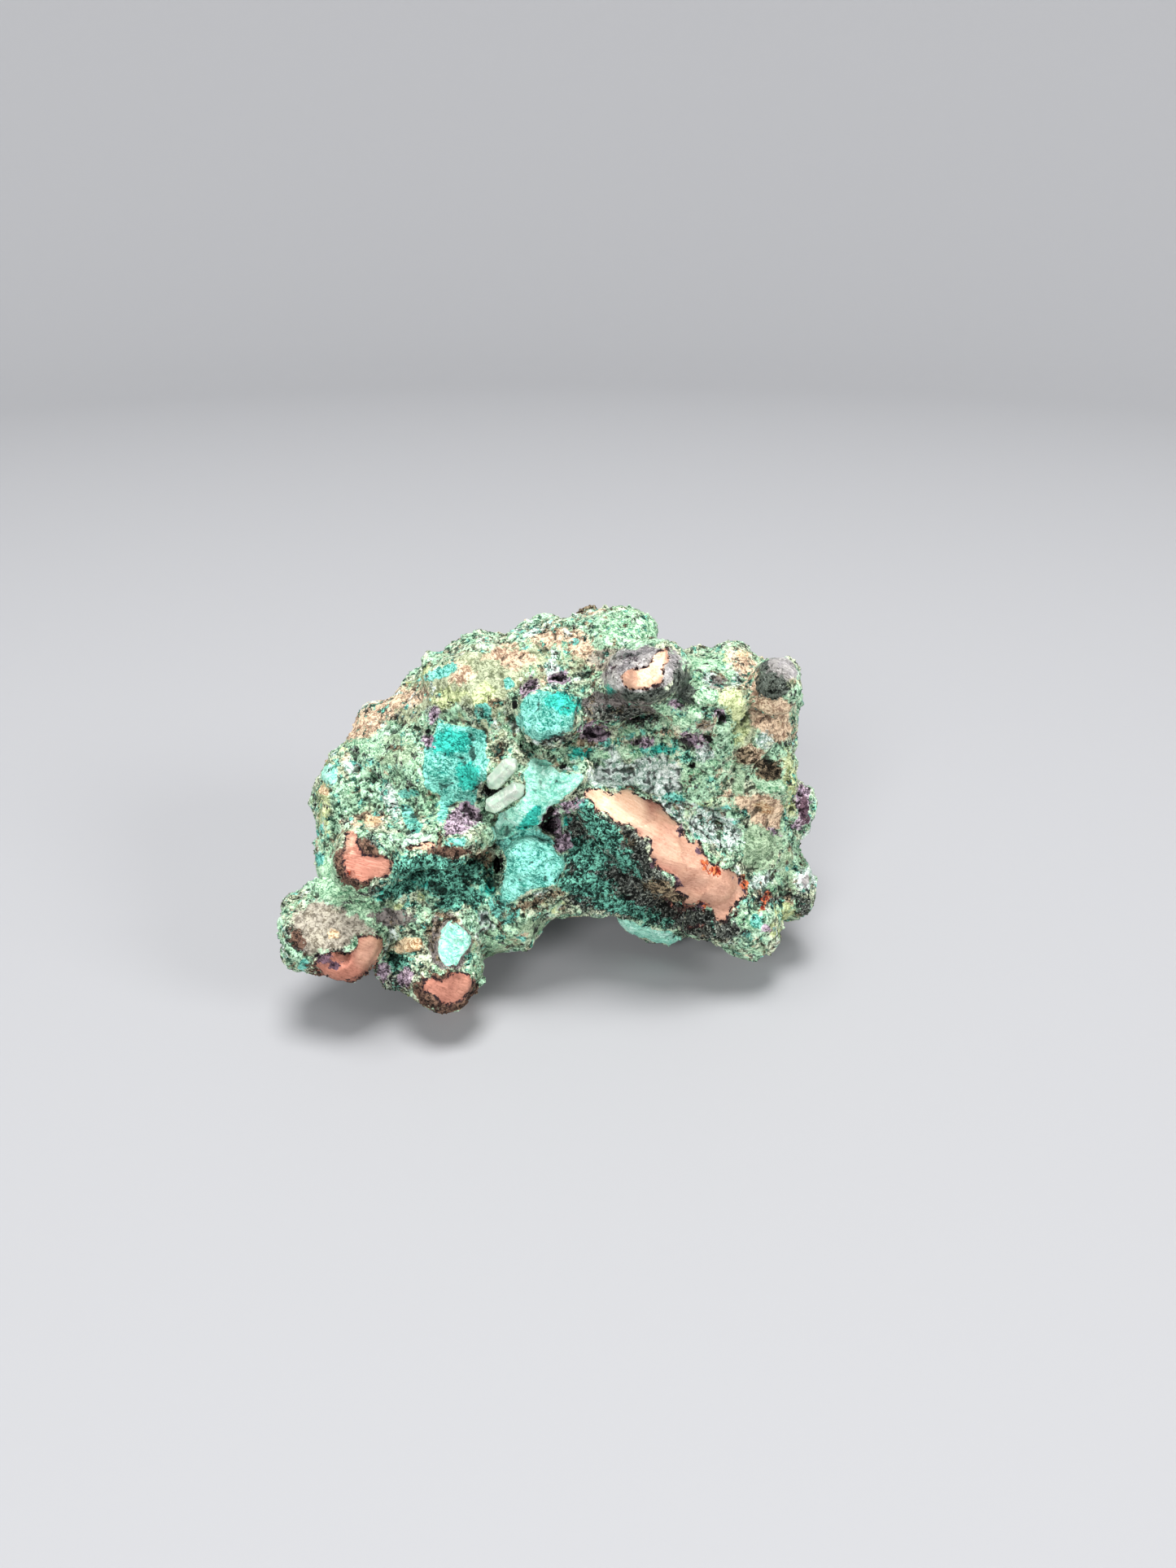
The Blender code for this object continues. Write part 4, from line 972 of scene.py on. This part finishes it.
def crust_material(settings):
    """Every finish of the rock: crusts laid over each other, bare copper, painted shade in the hollows and a
    painted highlight on the ridges.
    """
    material = bpy.data.materials.new("copper crust")
    material.use_nodes = True
    tree = material.node_tree
    surface = tree.nodes["Principled BSDF"]
    place = in_millimetres(tree)
    stone = use_group(tree, grain_group(), Place=place)
    skin = use_group(tree, skin_group(), Place=place)
    worn = use_group(tree, worn_group(), Place=place, Scratched=field(tree, "scratched"))
    tones = {"grain": stone.outputs["Tone"], "skin": skin.outputs["Tone"], "metal": worn.outputs["Tone"],
             "spark": maths(tree, "POWER", stone.outputs["Tone"], 2.0),
             # Dark ground with painted glints from the light fine cells.
             "glitter": maths(tree, "MULTIPLY_ADD", stone.outputs["Glint"], 0.34,
                              maths(tree, "MULTIPLY", maths(tree, "POWER", stone.outputs["Tone"], 2.5), 0.2))}
    ragged_edge = rise(tree, cloud(tree, place, 1.5, 6.0, 0.78), 0.28, 0.72)
    layer = layer_group()
    greener = rise(tree, cloud(tree, place, 4.5, 4.0, 0.65), 0.44, 0.56)
    ends = [blend(tree, greener, from_display(*grey), from_display(*green))
            for grey, green in zip(ROCK_COLOURS, GREEN_ROCK_COLOURS)]
    colour = blend(tree, stone.outputs["Tone"], *ends)
    masks = {}
    skinned = 0.0
    for finish, (dark, light, kind, soft, reach) in FINISH_COLOURS.items():
        ends = [from_display(*dark), from_display(*light)]
        if finish == "copper":
            # Lighter copper: partly real rubbing, partly painted sheen.
            burnish_and_sheen = field(tree, "burnish_and_sheen")
            ends = [blend(tree, burnish_and_sheen, end, from_display(*bright))
                    for end, bright in zip(ends, BURNISH_AND_SHEEN_COLOURS)]
        laid = use_group(tree, layer, Below=colour, Field=field(tree, finish), Ragged=ragged_edge, Soft=soft,
                         Reach=reach, Tone=tones[kind], Dark=ends[0], Light=ends[1])
        colour = laid.outputs["Colour"]
        masks[finish] = laid.outputs["Mask"]
        skinned = blend_number(tree, laid.outputs["Mask"], skinned, float(kind == "skin"))
    near_rim = rise(tree, field(tree, "copper"), 0.82, 0.54)
    bitten = maths(tree, "MULTIPLY_ADD", near_rim, 0.24, cloud(tree, place, 0.75, 4.0, 0.75))
    bitten = rise(tree, bitten, 0.7, 0.74)
    bitten = maths(tree, "MULTIPLY", bitten, masks["copper"])
    colour = blend(tree, bitten, colour, from_display(*BITTEN_COLOUR))
    crusted = maths(tree, "ADD", bitten, maths(tree, "ADD", masks["red"], masks["speck"]))
    bare = maths(tree, "SUBTRACT", masks["copper"], crusted, clamp=True)
    exposed = field(tree, "exposed")
    # Painted shade: the hollows, where the surface lies below its smoothed shape, are darkened.
    painted_hollow_shade = maths(tree, "MULTIPLY", rise(tree, exposed, 0.38, 0.05), blend_number(tree, bare, 1.0, 0.35))
    colour = blend(tree, maths(tree, "MULTIPLY", painted_hollow_shade, settings.painted_hollow_shade), colour, from_display(*PAINTED_HOLLOW_SHADE_COLOUR))
    # Painted highlight: ridges and crumb edges that stand above the smoothed shape are lightened towards white.
    painted_ridge_highlight = maths(tree, "MULTIPLY", rise(tree, exposed, 0.56, 0.95), blend_number(tree, bare, 1.0, 0.3))
    colour = blend(tree, maths(tree, "MULTIPLY", painted_ridge_highlight, 0.4), colour, from_display(250, 250, 236), "SOFT_LIGHT")
    feed(tree, surface.inputs["Base Color"], colour)
    metal = maths(tree, "MULTIPLY", bare, 0.5)
    metal = maths(tree, "MAXIMUM", metal, maths(tree, "MULTIPLY", masks["silver_and_highlight"], 0.75))
    metal = maths(tree, "MAXIMUM", metal, maths(tree, "MULTIPLY", masks["gunmetal"], 0.6))
    feed(tree, surface.inputs["Metallic"], metal)
    glint = maths(tree, "MULTIPLY", stone.outputs["Glint"], maths(tree, "SUBTRACT", 1.0, skinned))
    rough = blend_number(tree, glint, 0.82, 0.35)
    rough = blend_number(tree, maths(tree, "MAXIMUM", masks["silver_and_highlight"], masks["gunmetal"]), rough, 0.3)
    rough = blend_number(tree, bare, rough, rise(tree, worn.outputs["Tone"], 0, 1, 0.64, 0.5))
    feed(tree, surface.inputs["Roughness"], rough)
    surface.inputs["Specular IOR Level"].default_value = 0.14
    rough_height = blend_number(tree, skinned, stone.outputs["Height"], skin.outputs["Height"])
    rough_height = maths(tree, "MULTIPLY", rough_height, maths(tree, "MULTIPLY_ADD", bare, -0.95, 1.0))
    normal = bump(tree, rough_height, 0.26, 0.9)
    normal = bump(tree, maths(tree, "MULTIPLY", worn.outputs["Height"], bare), 0.12, 0.8, normal)
    feed(tree, surface.inputs["Normal"], normal)
    return material


def quartz_material(settings):
    """Slightly milky, greenish quartz, see-through, with a faintly etched skin."""
    material = bpy.data.materials.new("milky quartz")
    material.use_nodes = True
    tree = material.node_tree
    surface = tree.nodes["Principled BSDF"]
    place = in_millimetres(tree)
    veil = cloud(tree, place, 1.1, 3.0, 0.6)
    clear, milky = from_display(216, 244, 222), from_display(246, 254, 240)
    feed(tree, surface.inputs["Base Color"], blend(tree, rise(tree, veil, 0.35, 0.65), clear, milky))
    surface.inputs["Transmission Weight"].default_value = 0.6
    surface.inputs["IOR"].default_value = 1.544
    feed(tree, surface.inputs["Roughness"], rise(tree, veil, 0.3, 0.7, 0.1, 0.3))
    etched = cloud(tree, place, 0.35, 3.0, 0.6)
    feed(tree, surface.inputs["Normal"], bump(tree, etched, 0.06, 0.6))
    absorb = tree.nodes.new("ShaderNodeVolumeAbsorption")
    absorb.inputs["Color"].default_value = (*from_display(206, 232, 206), 1)
    absorb.inputs["Density"].default_value = settings.absorption
    tree.links.new(absorb.outputs[0], tree.nodes["Material Output"].inputs["Volume"])
    return material


# Loose grains, by Geometry Nodes

def geometry_tree(name, takes):
    """An empty geometry tree with its inputs; returns the tree, its input sockets and its output node."""
    tree = bpy.data.node_groups.new(name, "GeometryNodeTree")
    tree.interface.new_socket("Geometry", in_out="INPUT", socket_type="NodeSocketGeometry")
    for socket, kind in takes:
        tree.interface.new_socket(socket, in_out="INPUT", socket_type="NodeSocket" + kind)
    tree.interface.new_socket("Geometry", in_out="OUTPUT", socket_type="NodeSocketGeometry")
    return tree, tree.nodes.new("NodeGroupInput").outputs, tree.nodes.new("NodeGroupOutput")


def geometry_node(tree, kind, values=(), **settings):
    """Adds a node, makes its settings, and feeds its inputs by name."""
    node = tree.nodes.new(kind)
    for key, value in settings.items():
        setattr(node, key, value)
    for name, value in dict(values).items():
        feed(tree, node.inputs[name], value)
    return node


def random_number(tree, low, high, seed):
    node = tree.nodes.new("FunctionNodeRandomValue")
    node.data_type = "FLOAT"
    feed(tree, node.inputs[2], low)
    feed(tree, node.inputs[3], high)
    feed(tree, node.inputs["Seed"], seed)
    return node.outputs[1]


def grain_tree(name, shape, detail):
    """Scatters one kind of grain where a named field says, turned and sized at random, then dents them."""
    takes = (("Where", "String"), ("Per square metre", "Float"), ("Smallest", "Float"), ("Largest", "Float"),
             ("Dent", "Float"), ("Seed", "Int"), ("Finish", "Material"))
    tree, takes, end = geometry_tree(name, takes)
    where = geometry_node(tree, "GeometryNodeInputNamedAttribute", {"Name": takes["Where"]},
                          data_type="FLOAT")
    density = maths(tree, "MULTIPLY", where.outputs[0], takes["Per square metre"])
    spread = geometry_node(tree, "GeometryNodeDistributePointsOnFaces",
                           {"Mesh": takes["Geometry"], "Density": density, "Seed": takes["Seed"]})
    if shape == "cube":
        grain = geometry_node(tree, "GeometryNodeMeshCube", {"Size": (1.5, 1.5, 1.5)})
    else:
        grain = geometry_node(tree, "GeometryNodeMeshIcoSphere", {"Radius": 1.0, "Subdivisions": detail})
    turn = tree.nodes.new("FunctionNodeRandomValue")
    turn.data_type = "FLOAT_VECTOR"
    turn.inputs[1].default_value = (math.tau, math.tau, math.tau)
    feed(tree, turn.inputs["Seed"], takes["Seed"])
    size = random_number(tree, takes["Smallest"], takes["Largest"], takes["Seed"])
    placed = geometry_node(tree, "GeometryNodeInstanceOnPoints",
                           {"Points": spread.outputs["Points"], "Instance": grain.outputs["Mesh"],
                            "Rotation": turn.outputs[0], "Scale": size})
    real = geometry_node(tree, "GeometryNodeRealizeInstances", {"Geometry": placed.outputs[0]})
    noise = geometry_node(tree, "ShaderNodeTexNoise", {"Scale": 1 / (0.6 * MM), "Detail": 1.0})
    centred = geometry_node(tree, "ShaderNodeVectorMath", operation="SUBTRACT")
    feed(tree, centred.inputs[0], noise.outputs["Color"])
    centred.inputs[1].default_value = (0.5, 0.5, 0.5)
    dent = geometry_node(tree, "ShaderNodeVectorMath", operation="SCALE")
    feed(tree, dent.inputs[0], centred.outputs[0])
    feed(tree, dent.inputs["Scale"], takes["Dent"])
    dented = geometry_node(tree, "GeometryNodeSetPosition",
                           {"Geometry": real.outputs[0], "Offset": dent.outputs[0]})
    shaded = geometry_node(tree, "GeometryNodeSetShadeSmooth",
                           {"Geometry": dented.outputs[0], "Shade Smooth": shape == "ball"})
    coated = geometry_node(tree, "GeometryNodeSetMaterial",
                           {"Geometry": shaded.outputs[0], "Material": takes["Finish"]})
    feed(tree, end.inputs[0], coated.outputs[0])
    return tree


def scatter(name, rock, tree, where, values):
    """Runs a grain tree on the rock and keeps what it makes as a piece of its own."""
    write_field(rock.data, "where", where)
    maker = new_object(name, rock.data)
    modifier = maker.modifiers.new("grains", "NODES")
    modifier.node_group = tree
    identifiers = {item.name: item.identifier for item in tree.interface.items_tree if item.in_out == "INPUT"}
    for key, value in {"Where": "where", **values}.items():
        modifier[identifiers[key]] = value
    graph = bpy.context.evaluated_depsgraph_get()
    mesh = bpy.data.meshes.new_from_object(maker.evaluated_get(graph))
    maker.modifiers.clear()
    maker.data = mesh
    rock.data.attributes.remove(rock.data.attributes["where"])
    stray = mesh.attributes.get("where")
    if stray:
        mesh.attributes.remove(stray)
    triangles = sum(len(face.vertices) - 2 for face in mesh.polygons)
    if not 0 < triangles < MOST_TRIANGLES:
        raise RuntimeError(f"{name} has {triangles} triangles: change how many grains it has")
    keep_off_floor(mesh)
    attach(maker, "root")
    return maker


# Quartz

def quartz_shape(node_name, name, settings):
    """A CAD crystal with its edges rounded and its faces faintly stepped and pitted."""
    obj = merged_copy(node_name, name)
    round_off = obj.modifiers.new("worn edges", "BEVEL")
    round_off.width = settings.worn_edge
    round_off.segments = 2
    round_off.limit_method = "ANGLE"
    remesh(obj, 0.13, 2)
    points, normals = read_points(obj.data), read_normals(obj.data)
    along = np.linalg.svd(points - points.mean(axis=0), full_matrices=False)[2][0]
    steps = np.sin((points @ along) * 7 + waves(points, 1.2, 31) * 3) * 0.02
    wear = waves(points, 1.4, 41, 3) * 0.09 + waves(points, 0.45, 51, 2) * 0.03
    points += normals * (steps + wear - 0.03)[:, None]
    write_points(obj.data, points)
    obj.data.shade_smooth()
    return obj


# Properties and operators

class RockSettings(bpy.types.PropertyGroup):
    voxel: FloatProperty(name="Detail", description="The size of the rock's smallest modelled detail",
                         default=0.00041, min=0.0003, unit="LENGTH")
    crumb_height: FloatProperty(name="Crumb height", description="How far the crust's crumbs stand out",
                                default=0.0006, unit="LENGTH")
    crust_thickness: FloatProperty(name="Crust thickness",
                                   description="How proud of bare copper the crust is",
                                   default=0.00035, unit="LENGTH")
    # How strongly the crust's hollows are darkened with painted shade.
    painted_hollow_shade: FloatProperty(name="Painted hollow shade", description="How dark the hollows of the crust are", default=0.85,
                         min=0, max=1, subtype="FACTOR")


class GrainSettings(bpy.types.PropertyGroup):
    seed: IntProperty(name="Seed", description="Which random scatter of grains is used", default=7)
    smallest: FloatProperty(name="Smallest grain", description="Radius of the finest crust grains",
                            default=0.00012, unit="LENGTH")
    largest: FloatProperty(name="Largest grain", description="Radius of the coarsest crust grains",
                           default=0.00042, unit="LENGTH")


class QuartzSettings(bpy.types.PropertyGroup):
    worn_edge: FloatProperty(name="Worn edge", description="How far the crystals' edges are rounded",
                             default=0.00018, unit="LENGTH")
    absorption: FloatProperty(name="Absorption", description="How strongly the quartz tints light, per metre",
                              default=25.0)


class StageSettings(bpy.types.PropertyGroup):
    floor_colour: FloatVectorProperty(name="Floor", description="Colour of the floor", subtype="COLOR",
                                      default=(0.31, 0.31, 0.32))
    light: FloatProperty(name="Light", description="Strength of the studio light", default=1.0)


class BuildRock(bpy.types.Operator):
    """Builds the crusted copper rock around the nugget's solid"""

    bl_idname = "nugget.build_rock"
    bl_label = "Build rock"

    def execute(self, context):
        settings = context.scene.nugget_rock
        rock = merged_copy("nugget", "crusted_copper_rock")
        shape_rock(rock, settings)
        store_finishes(rock)
        rock.data.shade_smooth()
        rock.data.materials.clear()
        rock.data.materials.append(crust_material(settings))
        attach(rock, "root")
        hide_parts("nugget")
        return {"FINISHED"}


class ScatterGrains(bpy.types.Operator):
    """Scatters the crust's loose grains, botryoidal beads and small dark crystals over the rock"""

    bl_idname = "nugget.scatter_grains"
    bl_label = "Scatter grains"

    def execute(self, context):
        settings = context.scene.nugget_grains
        rock = bpy.data.objects["crusted_copper_rock"]
        material = rock.data.materials[0]
        points, normals = read_points(rock.data), read_normals(rock.data)
        fields = finish_fields(points, normals)
        on = {finish: step_up(values, -0.2, 0.2) for finish, values in fields.items()}
        off_metal = (1 - on["copper"]) * (1 - on["silver_and_highlight"] * 0.8)
        crumbly = off_metal * (1 - on["sage"] * 0.75) * (1 - on["aqua"] * 0.7) * (1 - on["cream"] * 0.4)
        patchy = step_up(waves(points, 3.0, 601, 2), -0.35, 0.3)
        off_floor = step_up(points[:, 2], 0.3, 1.2)
        small, large = settings.smallest, settings.largest
        angular = grain_tree("angular grains", "rock", 1)
        beads = grain_tree("beads", "ball", 2)
        crystals = grain_tree("small crystals", "cube", 1)
        kinds = (
            ("crust_grains_fine", angular, crumbly * (0.35 + 0.65 * patchy), 420000,
             small, large * 0.55, 0.25),
            ("crust_grains_coarse", angular, crumbly * patchy, 130000, large * 0.5, large, 0.5),
            ("malachite_beads", beads, (on["mint"] + on["aqua"] * 0.5) * off_metal * patchy, 330000,
             small * 1.3, large * 0.62, 0.12),
            ("cuprite_crystals", crystals, np.maximum(on["cuprite"], on["black_and_shadow"] * 0.5) * off_metal, 900000,
             small, large * 0.5, 0.05),
        )
        for number, (name, tree, where, density, smallest, largest, dent) in enumerate(kinds):
            values = {"Per square metre": density, "Smallest": smallest, "Largest": largest,
                      "Dent": dent * MM, "Seed": settings.seed + number, "Finish": material}
            scatter(name, rock, tree, where * off_floor, values)
        return {"FINISHED"}


class BuildQuartz(bpy.types.Operator):
    """Builds the two quartz crystals in the vug"""

    bl_idname = "nugget.build_quartz"
    bl_label = "Build quartz"

    def execute(self, context):
        settings = context.scene.nugget_quartz
        material = quartz_material(settings)
        for node_name in ("quartz_crystal_upper", "quartz_crystal_lower"):
            crystal = quartz_shape(node_name, "etched_" + node_name, settings)
            crystal.data.materials.clear()
            crystal.data.materials.append(material)
            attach(crystal, "root")
            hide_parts(node_name)
        return {"FINISHED"}


def add_floor(settings):
    """A round pale floor whose rim curves up into a backdrop all round."""
    bm = bmesh.new()
    profile = [(0.0, 0.0), (0.35, 0.0), (0.7, 0.0)]
    profile += [(0.7 + 0.5 * math.sin(t), 0.5 - 0.5 * math.cos(t)) for t in np.linspace(0.15, 1.5, 10)]
    verts = [bm.verts.new((radius, 0, height)) for radius, height in profile]
    edges = [bm.edges.new(pair) for pair in zip(verts, verts[1:])]
    bmesh.ops.spin(bm, geom=verts + edges, cent=(0, 0, 0), axis=(0, 0, 1), angle=math.tau, steps=96,
                   use_merge=True)
    bmesh.ops.remove_doubles(bm, verts=bm.verts, dist=1e-5)
    bmesh.ops.recalc_face_normals(bm, faces=bm.faces)
    mesh = bpy.data.meshes.new("floor")
    bm.to_mesh(mesh)
    bm.free()
    mesh.shade_smooth()
    floor = new_object("floor", mesh)
    material = bpy.data.materials.new("pale floor")
    material.use_nodes = True
    surface = material.node_tree.nodes["Principled BSDF"]
    surface.inputs["Base Color"].default_value = (*settings.floor_colour, 1)
    surface.inputs["Roughness"].default_value = 0.7
    mesh.materials.append(material)


def add_light(name, place, size, power, settings):
    lamp = bpy.data.lights.new(name, "AREA")
    lamp.shape = "DISK"
    lamp.size = size
    lamp.energy = power * settings.light
    obj = bpy.data.objects.new(name, lamp)
    bpy.context.scene.collection.objects.link(obj)
    obj.location = place
    obj.rotation_euler = (Vector((0, 0, 0.03)) - Vector(place)).to_track_quat("-Z", "Y").to_euler()


class SetStage(bpy.types.Operator):
    """Adds the floor, the soft studio lights and the camera"""

    bl_idname = "nugget.set_stage"
    bl_label = "Set stage"

    def execute(self, context):
        settings = context.scene.nugget_stage
        scene = context.scene
        add_floor(settings)
        add_light("overhead softbox", (0.0, -0.1, 1.3), 0.6, 24, settings)
        add_light("front fill", (-0.5, -1.5, 0.85), 0.6, 25, settings)
        add_light("side fill", (1.3, -0.8, 0.8), 0.6, 17, settings)
        world = bpy.data.worlds.new("studio")
        world.use_nodes = True
        sky = world.node_tree.nodes["Background"]
        sky.inputs["Color"].default_value = (0.9, 0.95, 1.0, 1)
        sky.inputs["Strength"].default_value = 0.36
        scene.world = world
        scene.view_settings.view_transform = "Standard"
        camera = bpy.data.cameras.new("camera")
        camera.sensor_fit = "HORIZONTAL"
        camera.sensor_width = 36.0
        camera.lens = 36.0 * 1446 / 1445
        camera.clip_start = 0.01
        obj = bpy.data.objects.new("camera", camera)
        scene.collection.objects.link(obj)
        obj.location = Vector(CAMERA_PLACE) * MM
        obj.rotation_euler = (math.radians(90 - CAMERA_PITCH), 0, 0)
        scene.camera = obj
        return {"FINISHED"}


class NuggetPanel(bpy.types.Panel):
    """Lists the nugget's sizes and colours, and the steps that build it"""

    bl_idname = "VIEW3D_PT_nugget"
    bl_label = "Copper nugget"
    bl_space_type = "VIEW_3D"
    bl_region_type = "UI"
    bl_category = "Nugget"

    def draw(self, context):
        for operator, settings in STEPS:
            box = self.layout.box()
            box.operator(operator.bl_idname)
            if settings:
                group = getattr(context.scene, settings)
                for key in group.__annotations__:
                    box.prop(group, key)


STEPS = (
    (BuildRock, "nugget_rock"),
    (ScatterGrains, "nugget_grains"),
    (BuildQuartz, "nugget_quartz"),
    (SetStage, "nugget_stage"),
)
SETTINGS = {"nugget_rock": RockSettings, "nugget_grains": GrainSettings, "nugget_quartz": QuartzSettings,
            "nugget_stage": StageSettings}


def register():
    for name, group in SETTINGS.items():
        bpy.utils.register_class(group)
        setattr(bpy.types.Scene, name, PointerProperty(type=group))
    for operator, _ in STEPS:
        bpy.utils.register_class(operator)
    bpy.utils.register_class(NuggetPanel)


def unregister():
    bpy.utils.unregister_class(NuggetPanel)
    for operator, _ in reversed(STEPS):
        bpy.utils.unregister_class(operator)
    for name, group in reversed(SETTINGS.items()):
        delattr(bpy.types.Scene, name)
        bpy.utils.unregister_class(group)


def clear_startup_objects():
    for obj in list(bpy.data.objects):
        if obj.name in ("Cube", "Light", "Camera"):
            bpy.data.objects.remove(obj)


def main():
    clear_startup_objects()
    register()
    bpy.ops.nugget.build_rock()
    bpy.ops.nugget.scatter_grains()
    bpy.ops.nugget.build_quartz()
    bpy.ops.nugget.set_stage()


if __name__ == "__main__":
    main()
